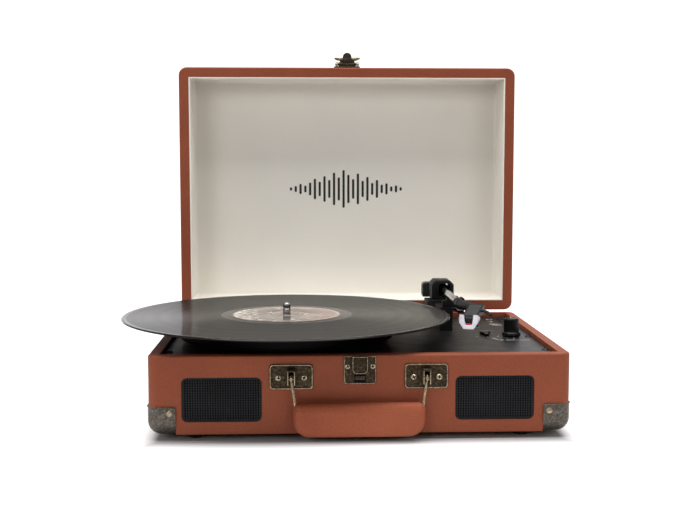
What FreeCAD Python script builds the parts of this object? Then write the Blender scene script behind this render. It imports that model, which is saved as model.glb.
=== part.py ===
import FreeCAD, Part
import os
import math
import re
import Sketcher

# Suitcase record player, millimetres.
# X runs to the right, Y from the front of the case to its back, Z up.
# The origin is the centre of the case's footprint on the surface that it stands on.
# The lid is modelled standing open, a 12 inch record lies on the platter and the tonearm is parked.

V = FreeCAD.Vector
doc = FreeCAD.newDocument("suitcase_record_player")
sheet = doc.addObject("Spreadsheet::Sheet", "Dimensions")
sheet.Label = "Dimensions"
NODES = []
row_count = [0]


class Dim:
    """A length that knows its number and the sheet expression it comes from."""

    def __init__(self, value, text):
        self.value = float(value)
        self.text = text

    @staticmethod
    def of(other):
        if isinstance(other, Dim):
            return other
        return Dim(other, "%.6g" % other if other >= 0 else "(%.6g)" % other)

    def __add__(self, other):
        o = Dim.of(other)
        return Dim(self.value + o.value, "(%s + %s)" % (self.text, o.text))

    def __radd__(self, other):
        return Dim.of(other) + self

    def __sub__(self, other):
        o = Dim.of(other)
        return Dim(self.value - o.value, "(%s - %s)" % (self.text, o.text))

    def __rsub__(self, other):
        return Dim.of(other) - self

    def __mul__(self, other):
        o = Dim.of(other)
        return Dim(self.value * o.value, "(%s * %s)" % (self.text, o.text))

    def __rmul__(self, other):
        return Dim.of(other) * self

    def __truediv__(self, other):
        o = Dim.of(other)
        return Dim(self.value / o.value, "(%s / %s)" % (self.text, o.text))

    def __neg__(self):
        return Dim(-self.value, "(-1 * %s)" % self.text)


def dim(alias, value, note):
    row_count[0] += 1
    r = row_count[0]
    sheet.set("A%d" % r, note)
    sheet.set("B%d" % r, "%.6g" % value)
    sheet.setAlias("B%d" % r, alias)
    return Dim(value, "Dimensions." + alias)


def num(v):
    return v.value if isinstance(v, Dim) else float(v)


def bind(obj, prop, v):
    if isinstance(v, Dim):
        obj.setExpression(prop, v.text)
    else:
        parts = prop.split(".")
        if len(parts) == 1:
            setattr(obj, prop, float(v))


def place(obj, x, y, z, rot=None):
    obj.Placement = FreeCAD.Placement(V(num(x), num(y), num(z)), rot or FreeCAD.Rotation())
    for key, v in (("x", x), ("y", y), ("z", z)):
        if isinstance(v, Dim):
            obj.setExpression("Placement.Base." + key, v.text)


def box(name, x0, x1, y0, y1, z0, z1):
    """A block between two corners."""
    b = doc.addObject("Part::Box", name)
    for prop, a, c in (("Length", x0, x1), ("Width", y0, y1), ("Height", z0, z1)):
        size = Dim.of(c) - a if isinstance(c, Dim) or isinstance(a, Dim) else num(c) - num(a)
        if not isinstance(size, Dim):
            setattr(b, prop, float(size))
        else:
            setattr(b, prop, size.value)
            b.setExpression(prop, size.text)
    place(b, x0, y0, z0)
    return b


AXIS_ROT = {
    "z": FreeCAD.Rotation(),
    "x": FreeCAD.Rotation(V(0, 1, 0), 90),
    "y": FreeCAD.Rotation(V(1, 0, 0), -90),
}


def cyl(name, r, length, x, y, z, axis="z"):
    """A cylinder that starts at a point and runs along +axis."""
    c = doc.addObject("Part::Cylinder", name)
    bind(c, "Radius", r)
    bind(c, "Height", length)
    place(c, x, y, z, AXIS_ROT[axis])
    return c


def cone(name, r1, r2, length, x, y, z, axis="z"):
    c = doc.addObject("Part::Cone", name)
    bind(c, "Radius1", r1)
    bind(c, "Radius2", r2)
    bind(c, "Height", length)
    place(c, x, y, z, AXIS_ROT[axis])
    return c


def cut(name, base, *tools):
    out = base
    for i, t in enumerate(tools):
        c = doc.addObject("Part::Cut", name if i == len(tools) - 1 else name + "_c%d" % i)
        c.Base = out
        c.Tool = t
        out = c
    return out


def fuse(name, *parts):
    f = doc.addObject("Part::MultiFuse", name)
    f.Shapes = list(parts)
    f.Refine = True
    return f


def common(name, a, b):
    c = doc.addObject("Part::Common", name)
    c.Base = a
    c.Tool = b
    return c


def group(name, *parts):
    c = doc.addObject("Part::Compound", name)
    c.Links = list(parts)
    return c


def edges_where(obj, test):
    doc.recompute()
    hits = []
    for i, e in enumerate(obj.Shape.Edges):
        if test(e):
            hits.append(i + 1)
    return hits


def fillet(name, base, r, test, kind="Part::Fillet"):
    ids = edges_where(base, test)
    if not ids:
        raise RuntimeError("no edge found for " + name)
    f = doc.addObject(kind, name)
    f.Base = base
    f.Edges = [(i, num(r), num(r)) for i in ids]
    return f


def along(axis, tol=1e-6):
    k = {"x": 0, "y": 1, "z": 2}[axis]

    def test(e):
        if e.Curve.TypeId != "Part::GeomLine":
            return False
        d = e.Vertexes[-1].Point - e.Vertexes[0].Point
        return abs(abs(d[k]) - d.Length) < tol
    return test


def both(*tests):
    return lambda e: all(t(e) for t in tests)


def mid(e):
    return e.valueAt((e.FirstParameter + e.LastParameter) / 2.0)


def near(axis, value, tol=1e-3):
    k = {"x": 0, "y": 1, "z": 2}[axis]
    return lambda e: abs(mid(e)[k] - num(value)) < tol


def node(label, obj):
    obj.Label = label
    NODES.append((label, obj))
    return obj


def plane_of(body, role):
    for f in body.Origin.OriginFeatures:
        if f.Role == role:
            return f
    raise RuntimeError(role)


def pin_point(sk, geo, pos, x, y):
    """Ties one sketch point to the sheet."""
    for kind, v, axis_geo in (("DistanceX", x, -2), ("DistanceY", y, -1)):
        n = num(v)
        if abs(n) < 1e-9:
            sk.addConstraint(Sketcher.Constraint("PointOnObject", geo, pos, axis_geo))
            continue
        if n > 0:
            c = Sketcher.Constraint(kind, -1, 1, geo, pos, n)
        else:
            c = Sketcher.Constraint(kind, geo, pos, -1, 1, -n)
        i = sk.addConstraint(c)
        if isinstance(v, Dim):
            sk.setExpression("Constraints[%d]" % i, v.text if n > 0 else "-1 * (%s)" % v.text)


def polygon_sketch(body, name, role, pts):
    sk = body.newObject("Sketcher::SketchObject", name)
    sk.AttachmentSupport = [(plane_of(body, role), "")]
    sk.MapMode = "FlatFace"
    n = len(pts)
    for i in range(n):
        a, b = pts[i], pts[(i + 1) % n]
        sk.addGeometry(Part.LineSegment(V(num(a[0]), num(a[1]), 0), V(num(b[0]), num(b[1]), 0)), False)
    for i in range(n):
        sk.addConstraint(Sketcher.Constraint("Coincident", i, 2, (i + 1) % n, 1))
    for i in range(n):
        pin_point(sk, i, 1, pts[i][0], pts[i][1])
    return sk


def turned(name, pts, x, y):
    """A turned piece: a profile of (radius, height) points revolved about a vertical axis."""
    body = doc.addObject("PartDesign::Body", name)
    sk = polygon_sketch(body, name + "_profile", "XZ_Plane", pts)
    rev = body.newObject("PartDesign::Revolution", name + "_turn")
    rev.Profile = sk
    rev.ReferenceAxis = (sk, ["V_Axis"])
    rev.Angle = 360.0
    body.Tip = rev
    doc.recompute()
    place(body, x, y, 0.0)
    return body


def padded_plate(name, pts, z0, height):
    """A plate of any outline in plan."""
    body = doc.addObject("PartDesign::Body", name)
    sk = polygon_sketch(body, name + "_outline", "XY_Plane", pts)
    pad = body.newObject("PartDesign::Pad", name + "_pad")
    pad.Profile = sk
    bind(pad, "Length", height)
    body.Tip = pad
    doc.recompute()
    place(body, 0.0, 0.0, z0)
    return body


# ---------------------------------------------------------------- driving dimensions
W = dim("case_width", 355.0, "case width, left to right")
D = dim("case_depth", 258.0, "case depth, front to back")
ZB = dim("case_bottom", 5.5, "height of the case bottom above the floor")
ZR = dim("rim_height", 72.0, "height of the base rim above the floor")
WRAP = dim("leatherette", 0.9, "thickness of the leatherette covering")
WALL = dim("base_wall", 7.6, "base board thickness")
RC = dim("corner_radius", 8.5, "plan radius of the case corners")
DECKZ = dim("deck_top", 68.0, "height of the deck surface")
DECKT = dim("deck_thickness", 3.0, "deck plate thickness")
GUARD = dim("guard_reach", 23.5, "reach of a corner guard along each edge")
GUARDR = dim("guard_ball", 10.5, "ball radius under a corner guard")
GUARDT = dim("guard_thickness", 0.9, "corner guard sheet thickness")
LIDY = dim("lid_rim_y", 132.2, "front plane of the open lid's rim")
LIDZ = dim("lid_bottom", 73.7, "underside of the open lid")
LIDD = dim("lid_depth", 55.0, "lid depth")
LIDW = dim("lid_wall", 9.4, "lid board thickness at the rim")
LIDP = dim("lid_panel", 3.0, "lid panel thickness")
LINER = dim("liner", 1.0, "lid lining thickness")
HY = dim("hinge_y", 131.3, "hinge axis, Y")
HZ = dim("hinge_z", 71.4, "hinge axis, Z")
HX = dim("hinge_x", 110.0, "hinge centre from the middle")
HR = dim("hinge_knuckle", 2.1, "hinge knuckle radius")
HPIN = dim("hinge_pin", 1.1, "hinge pin radius")
FX = dim("front_shift", -1.5, "handle and grilles, shift from the middle")
LX = dim("latch_shift", -0.6, "latch, shift from the middle")
GX = dim("grille_x", 114.4, "grille centre from the front middle")
GZ = dim("grille_z", 34.9, "grille centre height")
GW = dim("grille_width", 67.5, "grille width")
GH = dim("grille_height", 38.2, "grille height")
BX = dim("bracket_x", 56.5, "handle bracket from the front middle")
BZ = dim("bracket_z", 54.0, "handle bracket centre height")
PIVY = dim("handle_pivot_y", -133.6, "handle pivot, Y")
PIVZ = dim("handle_pivot_z", 53.0, "handle pivot, Z")
GRIPZ0 = dim("grip_bottom", 4.8, "handle grip underside")
GRIPZ1 = dim("grip_top", 33.2, "handle grip top")
GRIPH = dim("grip_half", 54.8, "half the length of the grip")
PX = dim("spindle_x", -63.0, "platter centre, X")
PY = dim("spindle_y", -22.0, "platter centre, Y")
PR = dim("platter_radius", 98.0, "platter radius")
PZ = dim("platter_top", 88.5, "platter top")
MATT = dim("mat_thickness", 1.5, "platter mat thickness")
DRUM = dim("drum_radius", 68.0, "belt drum radius under the platter")
RECR = dim("record_radius", 150.8, "12 inch record, radius")
RECZ = dim("record_bottom", 90.15, "record underside")
RECT = dim("record_thickness", 1.9, "record thickness")
SPR = dim("spindle_radius", 3.575, "spindle radius")
SPZ = dim("spindle_top", 103.0, "spindle tip")
PULX = dim("pulley_x", -127.3, "motor pulley, X")
PULY = dim("pulley_y", 32.0, "motor pulley, Y")
PULR = dim("pulley_radius", 3.2, "motor pulley radius")
KX = dim("knob_x", 149.0, "volume knob, X")
KY = dim("knob_y", -11.5, "volume knob, Y")
AX = dim("arm_x", 97.0, "tonearm pivot, X")
AY = dim("arm_y", 92.0, "tonearm pivot, Y")
AZ = dim("arm_z", 101.5, "tonearm tube height")
TR = dim("tube_radius", 3.2, "tonearm tube radius")
BASEZ = dim("arm_base_top", 91.0, "top of the tonearm base")

HW = W / 2
HD = D / 2
IN = WALL + WRAP
LT = LIDZ + D

# ---------------------------------------------------------------- base case
# boards: a ring of four walls, rounded at the corners
shell_o = box("shell_outer", -HW + WRAP, HW - WRAP, -HD + WRAP, HD - WRAP, ZB + WRAP, ZR - WRAP)
shell_of = fillet("shell_outer_round", shell_o, RC - WRAP, along("z"))
shell_i = box("shell_inner", -HW + IN, HW - IN, -HD + IN, HD - IN, ZB, ZR)
ring_full = cut("shell_ring", shell_of, shell_i)


def ball_cutters(tag, x0, x1, y0, y1, z0, z1, corners, reach):
    """What is trimmed from the case corners so that a ball corner guard seats on them."""
    b = box(tag + "_env", x0, x1, y0, y1, z0, z1)
    k = fillet(tag + "_env_round", b, GUARDR, lambda e: True)
    blocks = []
    for i, (sx, sy, sz) in enumerate(corners):
        bx = box(tag + "_blk%d" % i,
                 (x1 - reach) if sx > 0 else (x0 - 2), (x1 + 2) if sx > 0 else (x0 + reach),
                 (y1 - reach) if sy > 0 else (y0 - 2), (y1 + 2) if sy > 0 else (y0 + reach),
                 (z1 - reach) if sz > 0 else (z0 - 2), (z1 + 2) if sz > 0 else (z0 + reach))
        blocks.append(bx)
    allb = fuse(tag + "_blks", *blocks)
    tool = cut(tag + "_tool", allb, k)
    t = GUARDT
    b2 = box(tag + "_skin", x0 - t, x1 + t, y0 - t, y1 + t, z0 - t, z1 + t)
    k2 = fillet(tag + "_skin_round", b2, GUARDR + t, lambda e: True)
    skin = cut(tag + "_skin_shell", k2, k)
    guards = common(tag + "_guards", skin, allb)
    return tool, guards


BASE_CORNERS = [(-1, -1, -1), (1, -1, -1), (-1, 1, -1), (1, 1, -1)]
base_tool, base_guards = ball_cutters("basec", -HW, HW, -HD, HD, ZB, ZR + 40, BASE_CORNERS, GUARD)

grille_rebates = []
grille_throats = []
for i, s in enumerate((-1, 1)):
    cx = FX + GX * s
    grille_rebates.append(box("rebate%d" % i, cx - GW / 2, cx + GW / 2, -HD - 1, -HD + 2.8, GZ - GH / 2, GZ + GH / 2))
    grille_throats.append(box("throat%d" % i, cx - GW / 2 + 5, cx + GW / 2 - 5, -HD, -HD + 12, GZ - GH / 2 + 4, GZ + GH / 2 - 4))
rebate = fuse("grille_rebates", *grille_rebates)
throat = fuse("grille_throats", *grille_throats)
# a window in the back wall behind the connector plate
back_window = box("back_window", 34.0, 96.0, HD - 12, HD + 1, 26.0, 46.0)
base_shell = cut("base_shell_cut", ring_full, rebate, throat, back_window, base_tool)
node("base_shell", base_shell)

# leatherette over the outside, the rim and down to the deck
wrap_o = box("wrap_outer", -HW, HW, -HD, HD, ZB, ZR)
wrap_of = fillet("wrap_outer_round", wrap_o, RC, along("z"))
wrap_of2 = fillet("wrap_rim_round", wrap_of, 1.6, near("z", ZR))
wrap_of3 = fillet("wrap_bottom_round", wrap_of2, 0.85, near("z", ZB))
wrap_i = box("wrap_inner", -HW + IN + WRAP, HW - IN - WRAP, -HD + IN + WRAP, HD - IN - WRAP, ZB - 1, ZR + 1)
wrap_low = box("wrap_low", -HW + IN, HW - IN, -HD + IN, HD - IN, ZB - 1, DECKZ - DECKT)
base_wrap = cut("base_wrap_cut", wrap_of3, ring_full, wrap_i, wrap_low, rebate, back_window, base_tool)
node("base_wrap", base_wrap)

bottom_holes = [cyl("bolt_hole%d" % i, 1.5, 6.0, x, y, 5.0) for i, (x, y) in enumerate(((-139.5, -112.0), (138.0, -112.0), (-139.5, 108.0), (138.0, 108.0)))]
bottom = box("bottom_blank", -HW + IN + 0.1, HW - IN - 0.1, -HD + IN + 0.1, HD - IN - 0.1, ZB, ZB + 4)
node("bottom_board", cut("bottom_cut", bottom, fuse("bottom_bolt_holes", *bottom_holes), base_tool))

FEET = ((-139.5, -112.0), (138.0, -112.0), (-139.5, 108.0), (138.0, 108.0))
feet = []
for i, (x, y) in enumerate(FEET):
    feet.append(fuse("foot%d" % i, cone("foot_c%d" % i, 5.9, 6.6, ZB, x, y, 0.0), cyl("foot_stem%d" % i, 1.5, 4.0, x, y, ZB)))
node("rubber_feet", group("feet_group", *feet))

battens = []
for i, s in enumerate((-1, 1)):
    if s < 0:
        b = box("batten_l", -HW + IN, -HW + IN + 10, -100.0, 100.0, DECKZ - DECKT - 15, DECKZ - DECKT)
    else:
        b = box("batten_r", HW - IN - 10, HW - IN, -100.0, 66.0, DECKZ - DECKT - 15, DECKZ - DECKT)
    battens.append(b)
DSCREWS = [(-163.5, -87.0), (-163.5, 0.0), (-163.5, 87.0), (164.5, -87.0), (164.5, -14.0), (164.5, 58.0)]
dholes = fuse("deck_screw_holes", *[cyl("dsh%d" % i, 1.5, 14.0, x, y, 56.0) for i, (x, y) in enumerate(DSCREWS)])
node("deck_battens", cut("battens_cut", fuse("battens_both", *battens), dholes))

# ---------------------------------------------------------------- deck
deck_blank = box("deck_blank", -HW + IN + WRAP + 0.3, HW - IN - WRAP - 0.3, -HD + IN + WRAP + 0.3, HD - IN - WRAP - 0.3, DECKZ - DECKT, DECKZ)
deck_r = fillet("deck_round", deck_blank, 1.5, along("z"))
JACKS = ((158.3, 98.8), (157.4, 82.2))
dk_tools = [
    dholes,
    cyl("deck_bush_hole", 5.0, 8.0, PX, PY, DECKZ - 5),
    cyl("deck_pulley_hole", 6.0, 8.0, PULX, PULY, DECKZ - 5),
    cyl("deck_knob_hole", 3.6, 8.0, KX, KY, DECKZ - 5),
    cyl("deck_arm_hole", 5.0, 8.0, AX, AY, DECKZ - 5),
    cyl("deck_speed_hole", 2.6, 8.0, 126.0, 1.0, DECKZ - 5),
    box("deck_auto_slot", 123.5, 126.5, 47.0, 58.0, DECKZ - 5, DECKZ + 1),
    cyl("deck_jack_hole0", 3.0, 8.0, JACKS[0][0], JACKS[0][1], DECKZ - 5),
    cyl("deck_jack_hole1", 3.0, 8.0, JACKS[1][0], JACKS[1][1], DECKZ - 5),
]
node("deck_plate", cut("deck_cut", deck_r, *dk_tools))

screws = []
for i, (x, y) in enumerate(DSCREWS):
    head = cone("dsh_head%d" % i, 3.2, 1.9, 1.4, x, y, DECKZ)
    shank = cyl("dsh_shank%d" % i, 1.5, 11.5, x, y, DECKZ - 11.5)
    screws.append(fuse("deck_screw%d" % i, head, shank))
node("deck_screws", group("deck_screws_group", *screws))

# ---------------------------------------------------------------- corner guards
node("base_corner_guards", base_guards)
nails = []
k = 0
for (sx, sy, sz) in BASE_CORNERS:
    ex = (HW - 18.5) * sx
    ey = (HD - 18.5) * sy
    ez = ZB + 18.0
    front_y = (HD + GUARDT) * sy
    side_x = (HW + GUARDT) * sx
    # front or back face, side face and underside
    if sy < 0:
        nails.append(cone("nail%d" % k, 0.6, 1.8, 0.9, ex, front_y - 0.9, ez, "y"))
    else:
        nails.append(cone("nail%d" % k, 1.8, 0.6, 0.9, ex, front_y, ez, "y"))
    k += 1
    if sx < 0:
        nails.append(cone("nail%d" % k, 0.6, 1.8, 0.9, side_x - 0.9, ey, ez, "x"))
    else:
        nails.append(cone("nail%d" % k, 1.8, 0.6, 0.9, side_x, ey, ez, "x"))
    k += 1
    nails.append(cone("nail%d" % k, 0.6, 1.8, 0.9, ex, ey, ZB - GUARDT - 0.9))
    k += 1
node("base_corner_nails", group("base_nails_group", *nails))

# ---------------------------------------------------------------- speakers
grilles = []
frames = []
cones = []
for i, s in enumerate((-1, 1)):
    cx = FX + GX * s
    g = box("grille_b%d" % i, cx - GW / 2 + 0.2, cx + GW / 2 - 0.2, -HD + 0.8, -HD + 2.8, GZ - GH / 2 + 0.2, GZ + GH / 2 - 0.2)
    gf = fillet("grille_f%d" % i, g, 4.4, along("y"))
    pan = box("grille_pan%d" % i, cx - GW / 2 + 2.4, cx + GW / 2 - 2.4, -HD, -HD + 1.5, GZ - GH / 2 + 2.4, GZ + GH / 2 - 2.4)
    panf = fillet("grille_panf%d" % i, pan, 3.0, along("y"))
    grilles.append(cut("grille%d" % i, gf, panf))
    # speaker basket: a square flange on the inside of the wall, a cone of struts and a magnet
    yb = -HD + IN
    fl = box("spk_fl%d" % i, cx - 30, cx + 30, yb, yb + 2, GZ - 22, GZ + 22)
    bk = cone("spk_bk%d" % i, 21.0, 12.0, 14.0, cx, yb + 2, GZ, "y")
    mg = cyl("spk_mg%d" % i, 16.0, 9.0, cx, yb + 16, GZ, "y")
    body = fuse("spk_sol%d" % i, fl, bk, mg)
    hollow = cone("spk_ho%d" % i, 19.6, 9.0, 14.0, cx, yb, GZ, "y")
    frames.append(cut("spk_frame%d" % i, body, hollow))
    co = cone("spk_co%d" % i, 18.9, 8.4, 11.0, cx, yb + 0.4, GZ, "y")
    ci = cone("spk_ci%d" % i, 17.9, 7.2, 10.4, cx, yb + 0.2, GZ, "y")
    cones.append(cut("spk_cone%d" % i, co, ci))
node("speaker_grilles", group("grilles_group", *grilles))
node("speaker_frames", group("frames_group", *frames))
node("speaker_cones", group("cones_group", *cones))

# ---------------------------------------------------------------- handle hardware
brackets = []
wires = []
hw_screws = []


def dome_screw(tag, x, y, z, side):
    """Dome-headed wood screw; side is the outward direction of the head."""
    if side == "-y":
        return fuse(tag, cone(tag + "h", 1.5, 2.6, 1.5, x, y - 1.5, z, "y"), cyl(tag + "s", 1.2, 6.5, x, y, z, "y"))
    if side == "+y":
        return fuse(tag, cone(tag + "h", 2.6, 1.5, 1.5, x, y, z, "y"), cyl(tag + "s", 1.2, 6.5, x, y - 6.5, z, "y"))
    if side == "+z":
        return fuse(tag, cone(tag + "h", 2.6, 1.5, 1.9, x, y, z, "z"), cyl(tag + "s", 1.2, 6.5, x, y, z - 6.5, "z"))
    return fuse(tag, cone(tag + "h", 1.5, 2.6, 1.2, x, y, z - 1.2, "z"), cyl(tag + "s", 1.2, 6.5, x, y, z, "z"))


for i, s in enumerate((-1, 1)):
    cx = FX + BX * s
    plate = box("brk_plate%d" % i, cx - 18.2, cx + 18.2, -HD - 1.2, -HD, BZ - 10.6, BZ + 10.6)
    platef = fillet("brk_platef%d" % i, plate, 2.2, along("y"))
    c1 = box("brk_ck_a%d" % i, cx - 3.5, cx - 1.7, PIVY - 3.2, -HD - 1.2, PIVZ - 5.5, PIVZ + 8)
    c2 = box("brk_ck_b%d" % i, cx + 1.7, cx + 3.5, PIVY - 3.2, -HD - 1.2, PIVZ - 5.5, PIVZ + 8)
    pin = cyl("brk_pin%d" % i, 1.3, 7.0, cx - 3.5, PIVY, PIVZ, "x")
    cap = box("brk_cap%d" % i, cx - 3.5, cx + 3.5, PIVY - 3.2, -HD - 1.2, PIVZ + 5.6, PIVZ + 8)
    brackets.append(fuse("bracket%d" % i, platef, c1, c2, pin, cap))
    # wire: an eye round the bracket's pin and a leg down into the grip
    eye_o = cyl("eye_o%d" % i, 3.3, 2.8, cx - 1.4, PIVY, PIVZ, "x")
    eye_i = cyl("eye_i%d" % i, 1.37, 4.0, cx - 2.0, PIVY, PIVZ, "x")
    leg = doc.addObject("Part::Cylinder", "leg%d" % i)
    top = V(num(cx), num(PIVY), num(PIVZ) - 2.4)
    foot = V(num(cx) - s * 3.6, -137.2, 24.0)
    d = foot - top
    leg.Radius = 1.25
    leg.Height = d.Length
    leg.Placement = FreeCAD.Placement(top, FreeCAD.Rotation(V(0, 0, 1), d))
    wires.append(cut("wire%d" % i, fuse("wire_s%d" % i, eye_o, leg), eye_i))
    hw_screws.append(dome_screw("bsa%d" % i, cx - 10.7, -HD - 1.2, BZ - 1, "-y"))
    hw_screws.append(dome_screw("bsb%d" % i, cx + 10.7, -HD - 1.2, BZ - 1, "-y"))
node("handle_brackets", group("brackets_group", *brackets))
node("handle_wires", group("wires_group", *wires))

grip_b = box("grip_block", FX - GRIPH, FX + GRIPH, -144.6, -130.6, GRIPZ0, GRIPZ1)
grip_1 = fillet("grip_low", grip_b, 13.0, both(along("y"), near("z", GRIPZ0)))
grip_2 = fillet("grip_high", grip_1, 5.0, both(along("y"), near("z", GRIPZ1)))
grip_3 = fillet("grip_soft", grip_2, 4.5, lambda e: abs(mid(e).y + 144.6) < 1e-3 or abs(mid(e).y + 130.6) < 1e-3)
node("handle_grip", grip_3)

# ---------------------------------------------------------------- latch on the base
lp = box("latch_pl", LX - 13.5, LX + 13.5, -HD - 1.3, -HD, 47.5, 71.4)
lpf = fillet("latch_plf", lp, 2.0, along("y"))
tab = box("latch_tab", LX - 6.7, LX + 6.7, -HD - 4.2, -HD - 1.3, 56.2, 71.2)
tabf = fillet("latch_tabf", tab, 4.5, both(along("y"), near("z", 56.2)))
lslot = box("latch_slot", LX - 4.6, LX + 4.6, -HD - 2, -HD + 0.5, 48.9, 55.3)
tslot = box("latch_eye", LX - 3.6, LX + 3.6, -HD - 5, -HD - 1.3, 64.2, 66.8)
node("latch_plate", cut("latch_cut", fuse("latch_sum", lpf, tabf), lslot, tslot))
for i, dx in enumerate((-10.4, 10.6)):
    hw_screws.append(dome_screw("lsc%d" % i, LX + dx, -HD - 1.3, 62.4, "-y"))
lever = box("lever_b", LX - 4.2, LX + 4.2, -HD - 3.4, -HD - 0.3, 51.2, 55.0)
node("latch_lever", fillet("lever_f", lever, 1.2, both(along("x"), near("y", -HD - 3.4))))

# ---------------------------------------------------------------- hinges
base_leaves = []
lid_leaves = []
pins = []
for i, s in enumerate((-1, 1)):
    cx = HX * s
    lp0 = box("bl_plate%d" % i, cx - 15, cx + 15, HD, HD + 1.0, 50.0, HZ)
    k1 = cyl("bl_k1%d" % i, HR, 9.8, cx - 15, HY, HZ, "x")
    k2 = cyl("bl_k2%d" % i, HR, 9.8, cx + 5.2, HY, HZ, "x")
    notch = box("bl_notch%d" % i, cx - 5.2, cx + 5.2, HD - 0.1, HD + 4, 68.6, HZ + 1)
    bore = cyl("bl_bore%d" % i, HPIN, 40.0, cx - 20, HY, HZ, "x")
    base_leaves.append(cut("base_leaf%d" % i, fuse("bl_sum%d" % i, lp0, k1, k2), notch, bore))
    lp1 = box("ll_plate%d" % i, cx - 15, cx + 15, LIDY + 1.6, LIDY + 20, LIDZ - 1.0, LIDZ)
    tg = box("ll_tongue%d" % i, cx - 4.9, cx + 4.9, HY, LIDY + 1.6, LIDZ - 1.0, LIDZ)
    k3 = cyl("ll_k%d" % i, HR, 9.8, cx - 4.9, HY, HZ, "x")
    bore2 = cyl("ll_bore%d" % i, HPIN + 0.06, 40.0, cx - 20, HY, HZ, "x")
    lid_leaves.append(cut("lid_leaf%d" % i, fuse("ll_sum%d" % i, lp1, tg, k3), bore2))
    pins.append(cyl("hpin%d" % i, HPIN, 30.0, cx - 15, HY, HZ, "x"))
    for j, dx in enumerate((-10.0, 0.0, 10.0)):
        hw_screws.append(dome_screw("bhs%d%d" % (i, j), cx + dx, HD + 1.0, 56.0, "+y"))
node("base_hinge_leaves", group("base_leaves_group", *base_leaves))
node("lid_hinge_leaves", group("lid_leaves_group", *lid_leaves))
node("hinge_pins", group("pins_group", *pins))
node("base_hardware_screws", group("hw_screws_group", *hw_screws))

# ---------------------------------------------------------------- lid
ls_o = box("lids_o", -HW + WRAP, HW - WRAP, LIDY + WRAP, LIDY + LIDD - WRAP, LIDZ + WRAP, LT - WRAP)
ls_of = fillet("lids_of", ls_o, RC - WRAP, along("y"))
ls_i = box("lids_i", -HW + WRAP + LIDW, HW - WRAP - LIDW, LIDY - 1, LIDY + LIDD - WRAP - LIDP, LIDZ + WRAP + LIDW, LT - WRAP - LIDW)
LID_CORNERS = [(-1, 1, -1), (1, 1, -1), (-1, 1, 1), (1, 1, 1)]
lid_tool, lid_guards = ball_cutters("lidc", -HW, HW, LIDY - 40, LIDY + LIDD, LIDZ, LT, LID_CORNERS, GUARD)
# the guards cover only the outer corners of the lid
node("lid_shell", cut("lid_shell_cut", ls_of, ls_i, lid_tool))

lw_o = box("lidw_o", -HW, HW, LIDY, LIDY + LIDD, LIDZ, LT)
lw_of = fillet("lidw_of", lw_o, RC, along("y"))
lw_of2 = fillet("lidw_of2", lw_of, 1.6, near("y", LIDY))
lw_of3 = fillet("lidw_of3", lw_of2, 0.85, near("y", LIDY + LIDD))
lw_in = box("lidw_in", -HW + WRAP + LIDW, HW - WRAP - LIDW, LIDY - 1, LIDY + WRAP + 1, LIDZ + WRAP + LIDW, LT - WRAP - LIDW)
ls_env = box("lids_env", -HW + WRAP, HW - WRAP, LIDY + WRAP, LIDY + LIDD - WRAP, LIDZ + WRAP, LT - WRAP)
ls_envf = fillet("lids_envf", ls_env, RC - WRAP, along("y"))
node("lid_wrap", cut("lid_wrap_cut", lw_of3, ls_envf, lw_in, lid_tool))

ll_o = box("liner_o", -HW + WRAP + LIDW, HW - WRAP - LIDW, LIDY + 0.2, LIDY + LIDD - WRAP - LIDP, LIDZ + WRAP + LIDW, LT - WRAP - LIDW)
ll_i = box("liner_i", -HW + WRAP + LIDW + LINER, HW - WRAP - LIDW - LINER, LIDY - 1, LIDY + LIDD - WRAP - LIDP - LINER, LIDZ + WRAP + LIDW + LINER, LT - WRAP - LIDW - LINER)
node("lid_liner", cut("lid_liner_cut", ll_o, ll_i))

node("lid_corner_guards", lid_guards)
lnails = []
k = 0
for (sx, sy, sz) in LID_CORNERS:
    ex = (HW - 18.0) * sx
    ey = LIDY + LIDD - 18.0
    ez = (LT - 18.0) if sz > 0 else (LIDZ + 18.0)
    lnails.append(cone("lnail%d" % k, 1.8, 0.6, 0.9, ex, LIDY + LIDD + GUARDT, ez, "y"))
    k += 1
    if sx < 0:
        lnails.append(cone("lnail%d" % k, 0.6, 1.8, 0.9, -HW - GUARDT - 0.9, ey, ez, "x"))
    else:
        lnails.append(cone("lnail%d" % k, 1.8, 0.6, 0.9, HW + GUARDT, ey, ez, "x"))
    k += 1
    if sz > 0:
        lnails.append(cone("lnail%d" % k, 1.8, 0.6, 0.9, ex, ey, LT + GUARDT))
    else:
        lnails.append(cone("lnail%d" % k, 0.6, 1.8, 0.9, ex, ey, LIDZ - GUARDT - 0.9))
    k += 1
node("lid_corner_nails", group("lid_nails_group", *lnails))

# ---------------------------------------------------------------- hasp on the lid
HSY = dim("hasp_axis_y", 137.0, "hasp axis, Y")
HSZ = LT + 3.7
hp = box("hasp_pl", LX - 13.5, LX + 13.5, LIDY + 1.8, LIDY + 24, LT, LT + 1.2)
hpf = fillet("hasp_plf", hp, 2.0, along("z"))
ear1 = box("hasp_e1", LX - 12.2, LX - 9.6, HSY - 2.4, HSY + 2.4, LT + 1.2, LT + 6.2)
ear2 = box("hasp_e2", LX + 9.6, LX + 12.2, HSY - 2.4, HSY + 2.4, LT + 1.2, LT + 6.2)
hb = cyl("hasp_bore", 1.1, 40.0, LX - 20, HSY, HSZ, "x")
node("hasp_plate", cut("hasp_plate_cut", fuse("hasp_sum", hpf, ear1, ear2), hb))
barrel = cyl("hasp_barrel", 2.1, 18.4, LX - 9.2, HSY, HSZ, "x")
hpin = cyl("hasp_pin", 1.03, 24.0, LX - 12.0, HSY, HSZ, "x")
tong = box("hasp_tongue", LX - 7.8, LX + 7.8, HSY - 1.5, HSY + 1.5, HSZ, LT + 10.0)
bar = cyl("hasp_bar", 1.9, 26.0, LX - 13.0, HSY, LT + 9.8, "x")
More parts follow.
